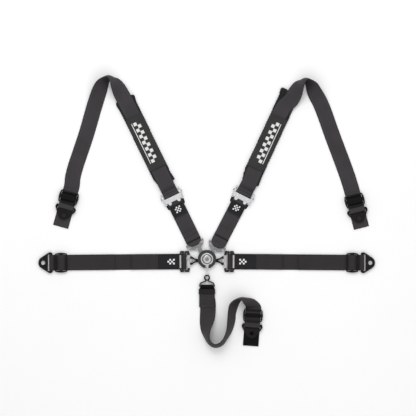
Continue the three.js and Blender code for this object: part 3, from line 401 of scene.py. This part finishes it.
def two_tone_surface(name, middle, half, inner, outer):
    """Plated cross plates between black-coated side walls, which start half away from middle in Y."""
    made = Surface(name, 0.35)
    edge, soft = worn(made, 0.5 * MM)
    split = made.node("SeparateXYZ", {"Vector": made.place()})
    away = made.maths("ABSOLUTE", made.maths("SUBTRACT", split.outputs["Y"], middle))
    wall = made.maths("GREATER_THAN", away, half)
    stain = made.noise(made.place(), 80, 3)
    bright = made.blend(stain, scaled(inner, 0.85), scaled(inner, 1.1))
    dark = made.blend(made.maths("MULTIPLY", edge, 0.25), outer, (0.3, 0.3, 0.3))
    made.colour(made.blend(wall, bright, dark))
    made.set(Metallic=made.maths("SUBTRACT", 1.0, wall))
    made.set(Roughness=made.range(stain, 0.3, 0.7, 0.26, 0.4))
    made.bump(made.noise(made.place(), 900, 2), 0.05 * MM, 0.4, over=soft)
    return made.material


# ---------- Tracing a CAD strap ----------

def rings_of(mesh):
    """The stations of a CAD strap in order, four vertices each, walked from one of its square ends."""
    for diagonal in mesh.edges:
        border = {e for f in diagonal.link_faces for e in f.edges} - {diagonal}
        if diagonal.calc_face_angle() > 0.02 or any(e.calc_face_angle() < 1.2 for e in border):
            continue
        ring = {v for f in diagonal.link_faces for v in f.verts}
        rings = []
        seen = set()
        while ring:
            rings.append(ring)
            seen |= ring
            ring = {e.other_vert(v) for v in ring for e in v.link_edges} - seen
        if all(len(ring) == 4 for ring in rings):
            return rings
    raise ValueError("the strap has no square end")


def paired(corners):
    """Splits four corners into the two pairs that face each other through the strap's thickness."""
    first = corners[0]
    partner = min(corners[1:], key=lambda other: (other - first).length)
    rest = [c for c in corners[1:] if c is not partner]
    return [(first, partner), tuple(rest)]


def strap_rows(node):
    """A CAD strap's left edge, right edge and upward direction at each of its stations."""
    mesh = bmesh.new()
    mesh.from_mesh(frame["nodes"][node].data)
    bmesh.ops.remove_doubles(mesh, verts=mesh.verts, dist=0.01 * MM)
    rows = []
    left = right = up = None
    for ring in rings_of(mesh):
        pairs = paired([v.co.copy() for v in ring])
        middles = [(a + b) / 2 for a, b in pairs]
        if left is not None:
            straight = (middles[0] - left).length + (middles[1] - right).length
            crossed = (middles[1] - left).length + (middles[0] - right).length
            if crossed < straight:
                pairs.reverse()
                middles.reverse()
        left, right = middles
        rise = (pairs[0][0] - pairs[0][1]).normalized()
        up = -rise if up is not None and rise.dot(up) < 0 else rise
        rows.append([*left, *right, *up])
    mesh.free()
    return np.array(rows)


def centres(rows):
    return (rows[:, 0:3] + rows[:, 3:6]) / 2


def rounded(rows, reach):
    """Rows with every corner turned into a short bend and long steps divided."""
    middle = centres(rows)
    made = [rows[0]]
    for i in range(1, len(rows) - 1):
        before = middle[i] - middle[i - 1]
        after = middle[i + 1] - middle[i]
        lengths = np.linalg.norm(before), np.linalg.norm(after)
        start = rows[i] + (rows[i - 1] - rows[i]) * min(0.5, reach / lengths[0])
        end = rows[i] + (rows[i + 1] - rows[i]) * min(0.5, reach / lengths[1])
        turn = math.acos(np.clip(before @ after / (lengths[0] * lengths[1]), -1, 1))
        steps = 2 + int(turn / math.radians(9))
        for t in np.linspace(0, 1, steps):
            made.append((1 - t) ** 2 * start + 2 * t * (1 - t) * rows[i] + t * t * end)
    made.append(rows[-1])
    filled = [made[0]]
    for row in made[1:]:
        gap = np.linalg.norm(centres(np.array([row])) - centres(np.array([filled[-1]])))
        if gap < 0.05 * MM:
            continue
        steps = math.ceil(gap / STATION_GAP)
        last = filled[-1]
        filled += [last + (row - last) * (k / steps) for k in range(1, steps + 1)]
    return np.array(filled)


def unit(vectors):
    return vectors / np.maximum(np.linalg.norm(vectors, axis=1, keepdims=True), 1e-12)


def smoothed(values, distance, reach):
    """Values averaged along the strap with a bell-shaped weight."""
    weights = np.exp(-((distance[:, None] - distance[None, :]) / reach) ** 2)
    return weights @ values / weights.sum(axis=1)


def ribbon_section():
    """Points round a webbing section: place across from -1 to 1, and height from -1 to 1."""
    shoulder = 1 - WEB_THICK / WEB_WIDTH
    tops = [(u, 1.0) for u in np.linspace(-shoulder, shoulder, ACROSS_POINTS)]
    turn = [math.radians(a) for a in (50, 0, -50)]
    right = [(shoulder + (1 - shoulder) * math.cos(a), math.sin(a)) for a in turn]
    half = tops + right
    return np.array(half + [(-u, -h) for u, h in half])


def slackened(middle, end, heading):
    """The middle line with its loop round a tongue's bar hanging a little loose."""
    forward = np.array([*heading, 0])
    reach = np.clip((middle - np.array([*end, 0])) @ forward, 0, 3 * LOOP_SLACK)
    return middle - (LOOP_SLACK * (1 - reach / (3 * LOOP_SLACK)))[:, None] * forward


def necked(middle, across, end, heading):
    """Half widths drawn in round a tongue's bar, so that the loop ends in round corners."""
    reach = np.clip((middle - np.array([*end, 0])) @ np.array([*heading, 0]), 0, LOOP_CORNER)
    half = WEB_WIDTH / 2 - LOOP_CORNER + np.sqrt(LOOP_CORNER ** 2 - (LOOP_CORNER - reach) ** 2)
    return unit(across) * np.maximum(half, WEB_WIDTH / 2 - 0.75 * LOOP_CORNER)[:, None]


def ribbon(name, node, material, body, loop=None):
    """A woven strap along the CAD strap that it replaces.

    A strap that ends in a loop on a tongue also gives the place of that end and its heading.
    """
    rows = rounded(strap_rows(node), BEND_REACH)
    middle = centres(rows)
    across = (rows[:, 3:6] - rows[:, 0:3]) / 2
    if loop is not None:
        end, heading = loop
        middle = slackened(middle, end, heading)
        across = necked(middle, across, end - heading * LOOP_SLACK, heading)
    tangent = unit(np.gradient(middle, axis=0))
    upward = np.cross(across, tangent)
    upward = unit(upward) * np.sign((upward * rows[:, 6:9]).sum(axis=1, keepdims=True))
    along = np.concatenate([[0], np.cumsum(np.linalg.norm(np.diff(middle, axis=0), axis=1))])
    steep = np.clip((np.abs(unit(across)[:, 2]) - 0.55) / 0.35, 0, 1)
    turning = np.gradient(tangent, along, axis=0)
    bend = np.clip((turning * upward).sum(axis=1) / 22, -1, 1)
    bow = -BOW * smoothed(steep * bend, along, 16 * MM)
    section = ribbon_section()
    u, h = section[:, 0], section[:, 1]
    thick = h[None, :] * (WEB_THICK / 2) + bow[:, None] * (1 - u[None, :] ** 2)
    sideways = across[:, None, :] * u[None, :, None]
    points = middle[:, None, :] + sideways + upward[:, None, :] * thick[:, :, None]
    count, size = len(rows), len(section)
    vertices = points.reshape(-1, 3)
    quads = []
    places = []
    wide = (u + 1) / 2 * WEB_WIDTH
    for i in range(count - 1):
        for j in range(size):
            k = (j + 1) % size
            quads.append((i * size + j, (i + 1) * size + j, (i + 1) * size + k, i * size + k))
            places += [(wide[j], along[i]), (wide[j], along[i + 1])]
            places += [(wide[k], along[i + 1]), (wide[k], along[i])]
    for ring, flip in ((0, 1), (count - 1, -1)):
        quads.append(tuple(ring * size + j for j in range(size))[::flip])
        places += [(wide[j], along[ring]) for j in range(size)][::flip]
    piece = mesh_piece(name, vertices, quads, material, places)
    recalculate(piece.data)
    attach(piece, body)
    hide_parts(node)
    return piece


# ---------- Small building blocks ----------

def mesh_piece(name, vertices, faces, material, places=None):
    mesh = bpy.data.meshes.new(name)
    mesh.from_pydata([tuple(v) for v in vertices], [], faces)
    if places is not None:
        layer = mesh.uv_layers.new(name="weave")
        layer.data.foreach_set("uv", np.array(places, np.float32).reshape(-1))
    mesh.materials.append(material)
    mesh.shade_smooth()
    piece = bpy.data.objects.new(name, mesh)
    bpy.context.scene.collection.objects.link(piece)
    return piece


def recalculate(mesh):
    work = bmesh.new()
    work.from_mesh(mesh)
    bmesh.ops.recalc_face_normals(work, faces=work.faces)
    work.to_mesh(mesh)
    work.free()


def surface_of(*pieces):
    """A tree for dropping points onto pieces."""
    work = bmesh.new()
    for piece in pieces:
        work.from_mesh(piece.data)
    tree = BVHTree.FromBMesh(work)
    work.free()
    return tree


class Bench:
    """A flat working frame: an origin on the floor plan and a forward direction.

    A place on it is (across, along).
    """

    def __init__(self, origin, forward):
        self.origin = Vector((origin[0], origin[1], 0))
        self.forward = Vector((forward[0], forward[1], 0)).normalized()
        self.right = Vector((self.forward.y, -self.forward.x, 0))

    def at(self, across, along, height=0.0):
        point = self.origin + self.right * across + self.forward * along
        return Vector((point.x, point.y, height))

    def place_of(self, point):
        away = Vector((point[0], point[1], 0)) - self.origin
        return away.dot(self.right), away.dot(self.forward)

    def extent(self, node):
        """Lowest and highest (across, along) of a CAD node."""
        places = np.array([self.place_of(v.co) for v in frame["nodes"][node].data.vertices])
        return places.min(axis=0), places.max(axis=0)


def joint(name):
    return next(j for j in frame["joints"] if j["name"] == name)


def dropped(tree, point):
    """Where a point lands when it falls straight down, and the surface's normal there."""
    return tree.ray_cast(point, Vector((0, 0, -1)))[:2]


def painted_shadow_line(name, body, tree, bench, along, material):
    """A painted shadow line: a narrow raised band across the strap, following what lies under it."""
    profile = [(-0.5, -0.3), (-0.35, 0.45), (0, 0.6), (0.35, 0.45), (0.5, -0.3)]
    columns = np.linspace(-SHADOW_LINE_HALF, SHADOW_LINE_HALF, 25)
    vertices = []
    for across in columns:
        for share, lift in profile:
            hit = dropped(tree, bench.at(across, along + share * SHADOW_LINE_WIDTH, ABOVE))[0]
            vertices.append(hit + Vector((0, 0, lift * MM)))
    count = len(profile)
    faces = [tuple(range(count)), tuple(range(len(vertices) - 1, len(vertices) - count - 1, -1))]
    for i in range(len(columns) - 1):
        for j in range(count):
            k = (j + 1) % count
            faces.append((i * count + j, (i + 1) * count + j, (i + 1) * count + k, i * count + k))
    piece = mesh_piece(name, vertices, faces, material)
    recalculate(piece.data)
    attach(piece, body)
    return piece


def stitches(name, body, tree, bench, lines, material):
    """Raised stitches along straight lines of (across, along) places, on whatever lies on top there."""
    vertices = []
    faces = []
    for start, end in lines:
        a, b = bench.at(*start, ABOVE), bench.at(*end, ABOVE)
        count = max(int((b - a).length / STITCH_STEP), 1)
        for i in range(count):
            spot = a.lerp(b, (i + 0.5) / count)
            hit, normal = dropped(tree, spot)
            if hit is None:
                continue
            direction = (b - a).normalized()
            direction = (direction - normal * direction.dot(normal)).normalized()
            side = normal.cross(direction)
            first = len(vertices)
            ends = [hit + direction * s * STITCH_LENGTH / 2 - normal * 0.1 * MM for s in (-1, 1)]
            belt = [hit + direction * s * STITCH_LENGTH * 0.25 + side * t * STITCH_WIDTH / 2
                    for s, t in ((-1, -1), (1, -1), (1, 1), (-1, 1))]
            spine = [hit + direction * s * STITCH_LENGTH * 0.22 for s in (-1, 1)]
            crown = [point + normal * STITCH_HEIGHT for point in spine]
            keel = [point - normal * STITCH_DEPTH for point in spine]
            vertices += ends + belt + crown + keel
            shape = [(0, 2, 6), (0, 6, 5), (2, 3, 7, 6), (5, 6, 7, 4), (3, 1, 7), (4, 7, 1),
                     (0, 8, 2), (0, 5, 8), (2, 8, 9, 3), (5, 4, 9, 8), (3, 9, 1), (4, 1, 9)]
            faces += [tuple(first + k for k in face) for face in shape]
    piece = mesh_piece(name, vertices, faces, material)
    recalculate(piece.data)
    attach(piece, body)
    return piece


def cross_seam(along, rows=2):
    """Rows of stitches straight across a strap."""
    places = [along + SEAM_GAP * k for k in range(rows)]
    return [((-SEAM_HALF, place), (SEAM_HALF, place)) for place in places]


def boxed_seam(low, high):
    """A box with a W between its sides, as harness webbing is sewn."""
    corners = [(-BOX_HALF, low), (BOX_HALF, low), (BOX_HALF, high), (-BOX_HALF, high), (-BOX_HALF, low)]
    box = list(zip(corners[:-1], corners[1:]))
    zigzag = [(-BOX_HALF + 2 * BOX_HALF * k / 4, low if k % 2 == 0 else high) for k in range(5)]
    return box + list(zip(zigzag[:-1], zigzag[1:]))


def square_corners(left, low, side, inset=0.0):
    right, high = left + side - inset, low + side - inset
    left, low = left + inset, low + inset
    return [(left, low), (right, low), (right, high), (left, high)]


def chequered_mark(name, body, tree, bench, centre, columns, rows, square, material):
    """Raised embroidered squares, like a small chequered flag."""
    vertices = []
    faces = []
    for column in range(columns):
        for row in range(rows):
            if (column + row) % 2:
                continue
            left = centre[0] + (column - columns / 2) * square
            low = centre[1] + (row - rows / 2) * square
            foot = [(place, -MARK_DEPTH) for place in square_corners(left, low, square)]
            crown = [(place, MARK_HEIGHT) for place in square_corners(left, low, square, MARK_SLOPE)]
            first = len(vertices)
            for place, height in foot + crown:
                hit = dropped(tree, bench.at(*place, ABOVE))[0]
                vertices.append(hit + Vector((0, 0, height)))
            faces.append((first + 4, first + 5, first + 6, first + 7))
            faces.append((first + 3, first + 2, first + 1, first))
            for k in range(4):
                nxt = (k + 1) % 4
                faces.append((first + k, first + nxt, first + 4 + nxt, first + 4 + k))
    piece = mesh_piece(name, vertices, faces, material)
    piece.data.shade_flat()
    recalculate(piece.data)
    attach(piece, body)
    return piece


def baked(piece):
    """Replaces a piece's mesh by what its modifiers make of it."""
    bpy.context.view_layer.update()
    result = bpy.data.meshes.new_from_object(piece.evaluated_get(bpy.context.evaluated_depsgraph_get()))
    piece.modifiers.clear()
    piece.data = result


# ---------- Pads and covers ----------

def blown_up(piece, cap):
    """Cloth simulation with air inside. No point ends more than cap from where it began."""
    start = np.array([v.co for v in piece.data.vertices])
    sim = piece.modifiers.new("Cloth", "CLOTH")
    sim.settings.use_pressure = True
    sim.settings.uniform_pressure_force = 4
    sim.settings.effector_weights.gravity = 0
    sim.settings.quality = 4
    sim.point_cache.frame_start = 1
    sim.point_cache.frame_end = CLOTH_FRAMES
    for number in range(1, CLOTH_FRAMES + 1):
        bpy.context.scene.frame_set(number)
    bpy.context.view_layer.update()
    done = piece.evaluated_get(bpy.context.evaluated_depsgraph_get())
    moved = np.array([v.co for v in done.data.vertices]) - start
    piece.modifiers.clear()
    bpy.context.scene.frame_set(1)
    length = np.linalg.norm(moved, axis=1, keepdims=True)
    moved *= np.minimum(1, cap / np.maximum(length, 1e-9))
    piece.data.vertices.foreach_set("co", (start + moved).astype(np.float32).reshape(-1))
    piece.data.update()


def pad(side, bench, material):
    """A padded sleeve: blown-up cloth, pressed flat under the strap and on the floor."""
    node = f"shoulder_pad_{side}"
    mesh = frame["nodes"][node].data.copy()
    mesh.materials.clear()
    mesh.materials.append(material)
    piece = bpy.data.objects.new(f"padded_sleeve_{side}", mesh)
    bpy.context.scene.collection.objects.link(piece)
    low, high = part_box(node)
    middle = (low.z + high.z) / 2
    (left, near), (right, far) = bench.extent(node)
    for vertex in mesh.vertices:
        across, along = bench.place_of(vertex.co)
        inwards = 1.5 * MM if along < (near + far) / 2 else -1.5 * MM
        point = bench.at(across * 0.96, along + inwards)
        vertex.co = (point.x, point.y, middle + (vertex.co.z - middle) * 0.8)
    remesh = piece.modifiers.new("Remesh", "REMESH")
    remesh.mode = "VOXEL"
    remesh.voxel_size = VOXEL
    baked(piece)
    blown_up(piece, PAD_SWELL)
    places = np.array([bench.place_of(v.co) for v in piece.data.vertices])
    lowest, highest = places.min(axis=0), places.max(axis=0)
    share = (places - lowest) / (highest - lowest)
    wanted = np.array([left, near]) + share * np.array([right - left, far - near])
    for vertex, (across, along) in zip(piece.data.vertices, wanted):
        vertex.co = bench.at(across, along, vertex.co.z)
        under_strap = abs(across) < WEB_WIDTH / 2 + 1.5 * MM
        top = STRAP_UNDERSIDE if under_strap else STRAP_UNDERSIDE + PAD_SHOULDER
        vertex.co.z = min(max(vertex.co.z, low.z), top)
    smooth = piece.modifiers.new("Subdivision", "SUBSURF")
    smooth.levels = 1
    smooth.render_levels = 1
    baked(piece)
    piece.data.shade_smooth()
    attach(piece, f"pad_{side}")
    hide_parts(node)
    return piece


def cover_profile(foot, top):
    """Section of a cover: flat on the strap, falling to foot on both sides."""
    half = WEB_WIDTH / 2 + COVER_SIDE
    edge = WEB_WIDTH / 2 - 1 * MM
    profile = []
    for t in np.linspace(-1, 1, COVER_COLUMNS):
        fall = max(0.0, (abs(t) * half - edge) / (half - edge))
        crown = 0.5 * MM * (1 - t * t)
        profile.append((t * half, foot + (top - foot) * (1 - fall * fall * (3 - 2 * fall)) + crown))
    return profile


def cover(side, bench, material):
    """A thin cloth sleeve over the strap, falling to the pad on both sides, with soft wrinkles."""
    node = f"pad_cover_{side}"
    (left, near), (right, far) = bench.extent(node)
    middle = (left + right) / 2
    profile = cover_profile(STRAP_UNDERSIDE - 0.6 * MM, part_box(node)[1].z)
    lengths = np.linspace(near - 1 * MM, far + 1 * MM, COVER_ROWS)
    seed, facing = (3.7, 1) if side == "left" else (8.1, -1)
    shell = []
    places = []
    for along in lengths:
        hem = min(along - lengths[0], lengths[-1] - along)
        lift = 0.5 * MM * math.exp(-((hem - 2 * MM) / (2 * MM)) ** 2)
        for across, height in profile:
            flow = noise.noise(Vector((across * 30, along * 22, seed)))
            shell.append(bench.at(middle + across, along, height + COVER_WRINKLE * flow + lift))
            places.append((across * facing, along - near))
    faces = []
    uvs = []
    for i in range(COVER_ROWS - 1):
        for j in range(COVER_COLUMNS - 1):
            corner = i * COVER_COLUMNS + j
            quad = (corner, corner + 1, corner + COVER_COLUMNS + 1, corner + COVER_COLUMNS)
            faces.append(quad)
            uvs += [places[k] for k in quad]
    piece = mesh_piece(f"printed_cover_{side}", shell, faces, material, uvs)
    recalculate(piece.data)
    if sum(p.normal.z for p in piece.data.polygons) < 0:
        piece.data.flip_normals()
    thick = piece.modifiers.new("Solidify", "SOLIDIFY")
    thick.thickness = COVER_THICK
    thick.offset = -1
    baked(piece)
    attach(piece, f"pad_{side}")
    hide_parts(node)
    return piece


# ---------- Metal ----------

def finish(node, material, edge=0.35 * MM):
    """Gives a CAD node its material and softens its edges with modifiers."""
    piece = frame["nodes"][node]
    piece.data.materials.clear()
    piece.data.materials.append(material)
    weld = piece.modifiers.new("Weld", "WELD")
    weld.merge_threshold = 0.01 * MM
    bevel = piece.modifiers.new("Bevel", "BEVEL")
    bevel.width = edge
    bevel.segments = 2
    bevel.limit_method = "ANGLE"
    bevel.angle_limit = math.radians(32)


def finish_all(surfaces):
    pins = [name for name in frame["nodes"] if name.startswith(("latch_pin", "back_screw"))]
    single = {
        "buckle_housing": "cast",
        "buckle_back_plate": "black",
        "release_knob": "turned",
        "knob_screw": "steel",
        "cam_spindle": "steel",
        "return_spring": "steel",
        "latch_leaf_spring": "steel",
        "crotch_tongue": "black",
        "crotch_keeper": "label",
    }
    double = {
        "lap_tongue": "black",
        "lap_adjuster_bar": "knurled",
        "lap_label": "label",
        "shoulder_tongue": "steel",
        "shoulder_label": "label",
        "adjuster_frame": "aluminium",
        "adjuster_lever": "aluminium",
        "adjuster_pin": "knurled",
        "pull_tab": "label",
    }
    for name in pins:
        finish(name, surfaces["steel"], 0.2 * MM)
    for name, kind in single.items():
        finish(name, surfaces[kind], 0.12 * MM if "spring" in name else 0.35 * MM)
    for side in SIDES:
        for name, kind in double.items():
            finish(f"{name}_{side}", surfaces[kind])
        frame_node = f"lap_adjuster_frame_{side}"
        low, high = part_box(frame_node)
        two_tone = two_tone_surface(f"plated_frame_{side}", (low.y + high.y) / 2, 21 * MM,
                                    (0.72, 0.72, 0.73), (0.012, 0.012, 0.013))
        finish(frame_node, two_tone)
    for end in ("lap_left", "lap_right", "shoulder_left", "shoulder_right", "crotch"):
        finish(f"{end}_slide", surfaces["black"], 0.5 * MM)
        finish(f"{end}_anchor_plate", surfaces["black"], 0.5 * MM)


# ---------- The harness ----------

def lap_side(side, surfaces):
    body = f"lap_{side}"
    thread = surfaces["thread"]
    strap = ribbon(f"lap_webbing_{side}", f"lap_strap_{side}", surfaces["lap_webbing"],
                   body)
    hinge = joint(f"lap_strap_{side}_tilt")["pos_m"]
    anchor = joint(f"lap_anchor_{side}_swing")["pos_m"]
    bench = Bench(hinge, (anchor[0] - hinge[0], anchor[1] - hinge[1]))
    lines = [line for place, rows in LAP_SEAMS for line in cross_seam(place, rows)]
    lines += boxed_seam(LAP_LAYER_END + 4 * MM, LAP_LAYER_END + 44 * MM)
    stitches(f"lap_stitching_{side}", body, surface_of(strap), bench, lines, thread)
    label = surface_of(strap, frame["nodes"][f"lap_label_{side}"])
    (left, near), (right, far) = bench.extent(f"lap_label_{side}")
    chequered_mark(f"lap_mark_{side}", body, label, bench, ((left + right) / 2, near + 24 * MM),
                   3, 4, 6 * MM, surfaces["white_thread"])
    border = [((x, near + 2 * MM), (x, far - 2 * MM)) for x in (left + 2 * MM, right - 2 * MM)]
    stitches(f"lap_label_stitching_{side}", body, label, bench, border, thread)


def sewn_lower_strap(side, surfaces, strap, bench, length):
    """The painted shadow line across the loop, the seams of the strap from the tongue to the adjuster,
    and the mark on its label.
    """
    body = f"lower_{side}"
    tree = surface_of(strap)
    fold = FOLD_SHADOW_LINE[side]
    painted_shadow_line(f"loop_painted_shadow_{side}", body, tree, bench, fold, surfaces["painted_shadow"])
    lines = cross_seam(fold + 34 * MM) + boxed_seam(length - 50 * MM, length - 16 * MM)
    stitches(f"lower_stitching_{side}", body, tree, bench, lines, surfaces["thread"])
    label = surface_of(frame["nodes"][f"shoulder_label_{side}"])
    (left, near), (right, far) = bench.extent(f"shoulder_label_{side}")
    centre = ((left + right) / 2, (near + far) / 2 + 2 * MM)
    chequered_mark(f"shoulder_mark_{side}", body, label, bench, centre,
                   4, 4, 5 * MM, surfaces["white_thread"])


def padding(side, surfaces, forward):
    """The pad and its cover, with the seams along the pad and the hems of the cover."""
    body = f"pad_{side}"
    thread = surfaces["thread"]
    low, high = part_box(f"shoulder_pad_{side}")
    bench = Bench(((low.x + high.x) / 2, (low.y + high.y) / 2), forward)
    (left, _), (right, _) = bench.extent(f"shoulder_pad_{side}")
    bench.origin += bench.right * (left + right) / 2
    sleeve = pad(side, bench, surfaces["padding"])
    (_, near), (right, far) = bench.extent(f"shoulder_pad_{side}")
    edge = right - 4.5 * MM
    lines = [((x, near + 46 * MM), (x, far - 6 * MM)) for x in (-edge, edge)]
    stitches(f"pad_stitching_{side}", body, surface_of(sleeve), bench, lines, thread)
    printed = cover(side, bench, surfaces["cover"])
    (left, near), (right, far) = bench.extent(f"pad_cover_{side}")
    hems = [((left + 3 * MM, y), (right - 3 * MM, y)) for y in (near + 4 * MM, far - 4 * MM)]
    stitches(f"cover_stitching_{side}", body, surface_of(printed), bench, hems, thread)


def shoulder_side(side, surfaces):
    bar = joint(f"lower_strap_{side}_tilt")["pos_m"]
    loop = joint(f"adjuster_{side}_tilt")["pos_m"]
    forward = (loop[0] - bar[0], loop[1] - bar[1])
    bench = Bench(bar, forward)
    end = bench.at(0, -4.6 * MM)
    lower = ribbon(f"lower_webbing_{side}", f"shoulder_lower_strap_{side}", surfaces["webbing"],
                   f"lower_{side}", (end.xy, bench.forward.xy))
    upper = ribbon(f"upper_webbing_{side}", f"shoulder_upper_strap_{side}", surfaces["webbing"],
                   f"upper_{side}")
    sewn_lower_strap(side, surfaces, lower, bench, math.hypot(*forward))
    stitches(f"upper_stitching_{side}", f"upper_{side}", surface_of(upper), Bench(loop, forward),
             cross_seam(30 * MM), surfaces["thread"])
    slide = joint(f"pad_{side}_slide")["axis"]
    padding(side, surfaces, (-slide[0], -slide[1]))


def crotch(surfaces):
    strap = ribbon("crotch_webbing", "crotch_strap", surfaces["crotch_webbing"], "crotch")
    bench = Bench(joint("crotch_strap_tilt")["pos_m"], (0, -1))
    tree = surface_of(strap)
    box = boxed_seam(34 * MM, 62 * MM)
    stitches("crotch_stitching", "crotch", tree, bench, box, surfaces["thread"])
    last = cross_seam(65.5 * MM, rows=1)
    stitches("crotch_end_stitching", "crotch", tree, bench, last, surfaces["grey_thread"])


# ---------- Stage ----------

def floor():
    made = Surface("pale_floor", roughness=0.8)
    tint = made.noise(made.place(), 3, 2)
    made.colour(made.blend(tint, (0.93, 0.93, 0.93), (0.96, 0.96, 0.96)))
    size = 12
    corners = [(-size, -size, 0), (size, -size, 0), (size, size, 0), (-size, size, 0)]
    plane = mesh_piece("floor", corners, [(0, 1, 2, 3)], made.material)
    plane.location.z = min(cad_box[0].z, 0) - 0.2 * MM


def area_light(name, place, target, size, power):
    light = bpy.data.lights.new(name, "AREA")
    light.shape = "SQUARE"
    light.size = size
    light.energy = power
    lamp = bpy.data.objects.new(name, light)
    bpy.context.scene.collection.objects.link(lamp)
    lamp.location = place
    lamp.rotation_mode = "QUATERNION"
    lamp.rotation_quaternion = (Vector(target) - Vector(place)).to_track_quat("-Z", "Y")


def studio():
    world = bpy.data.worlds.new("studio")
    world.use_nodes = True
    nodes, links = world.node_tree.nodes, world.node_tree.links
    split = nodes.new("ShaderNodeSeparateXYZ")
    links.new(nodes.new("ShaderNodeTexCoord").outputs["Generated"], split.inputs[0])
    dome = nodes.new("ShaderNodeMapRange")
    for name, value in {"From Min": 0.72, "From Max": 0.97, "To Min": 0.8, "To Max": 0.34}.items():
        dome.inputs[name].default_value = value
    links.new(split.outputs["Z"], dome.inputs["Value"])
    nodes["Background"].inputs["Color"].default_value = (1, 1, 1, 1)
    links.new(dome.outputs[0], nodes["Background"].inputs["Strength"])
    bpy.context.scene.world = world
    area_light("key", (-0.3, 1.9, 2.6), (0, 0.15, 0), 1.8, 38)
    area_light("fill", (0.6, -1.6, 2.8), (0, 0.1, 0), 3.0, 20)
    bpy.context.scene.view_settings.view_transform = "Standard"


def camera():
    lens = bpy.data.cameras.new("camera")
    lens.sensor_width = 36
    lens.lens = lens.sensor_width / 2 / (PICTURE_WIDTH / 2 / CAMERA_HEIGHT)
    made = bpy.data.objects.new("camera", lens)
    bpy.context.scene.collection.objects.link(made)
    made.location = PICTURE_CENTRE + Vector((0, 0, CAMERA_HEIGHT))
    bpy.context.scene.camera = made


def slide_zone(name, reach=15.5 * MM):
    """The part of a strap that goes over the middle bar of its slide, which its webbing darkens nearly
    black as painted shade.
    """
    low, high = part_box(f"{name}_slide")
    plate_low, plate_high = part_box(f"{name}_anchor_plate")
    middle = (low + high) / 2
    heading = (plate_low + plate_high) / 2 - middle
    heading.z = 0
    return middle, heading.normalized(), reach


def crotch_zones():
    """The bands of the crotch strap darkened nearly black: the loop round the tongue's bar, the slide,
    where the dark is painted shade, and the tail.
    """
    middle, heading, reach = slide_zone("crotch", 7.5 * MM)
    bar = joint("crotch_strap_tilt")["pos_m"]
    loop = Vector((bar[0], bar[1] - 8 * MM, bar[2]))
    tail = middle + heading * 78 * MM
    return [(loop, Vector((0, 1, 0)), 19 * MM), (middle, heading, reach), (tail, heading, 30 * MM)]


def main():
    surfaces = {
        # darkened nearly black over the shoulder slides' middle bars as painted shade
        "webbing": webbing_surface("charcoal_webbing", (0.038, 0.033, 0.037),
                                   [slide_zone(f"shoulder_{side}") for side in SIDES]),
        "lap_webbing": webbing_surface("dark_webbing", (0.024, 0.020, 0.021)),
        # darkened nearly black round the tongue's loop, over the slide as painted shade, and along the
        # tail
        "crotch_webbing": webbing_surface("crotch_webbing_darkened_ends", (0.029, 0.025, 0.026), crotch_zones()),
        "padding": padding_surface(),
        "cover": cover_surface(),
        "label": label_surface(),
        "thread": thread_surface("black_thread", (0.012, 0.011, 0.012)),
        # near-black, for the painted shadow line across each shoulder loop
        "painted_shadow": thread_surface("black_painted_shadow", (0.002, 0.002, 0.002)),
        "grey_thread": thread_surface("grey_thread", (0.22, 0.21, 0.21)),
        "white_thread": thread_surface("white_thread", (0.8, 0.8, 0.78)),
        "black": coated_surface("black_powder_coat", (0.006, 0.006, 0.0065), 0.38),
        "cast": coated_surface("grey_cast_alloy", (0.045, 0.045, 0.047), 0.42),
        "steel": metal_surface("satin_steel", (0.34, 0.34, 0.345), 0.36),
        "aluminium": metal_surface("bright_aluminium", (0.86, 0.86, 0.87), 0.36),
        "turned": turned_surface(),
        "knurled": knurled_surface(),
    }
    finish_all(surfaces)
    for side in SIDES:
        lap_side(side, surfaces)
        shoulder_side(side, surfaces)
    crotch(surfaces)
    floor()
    studio()
    camera()


main()
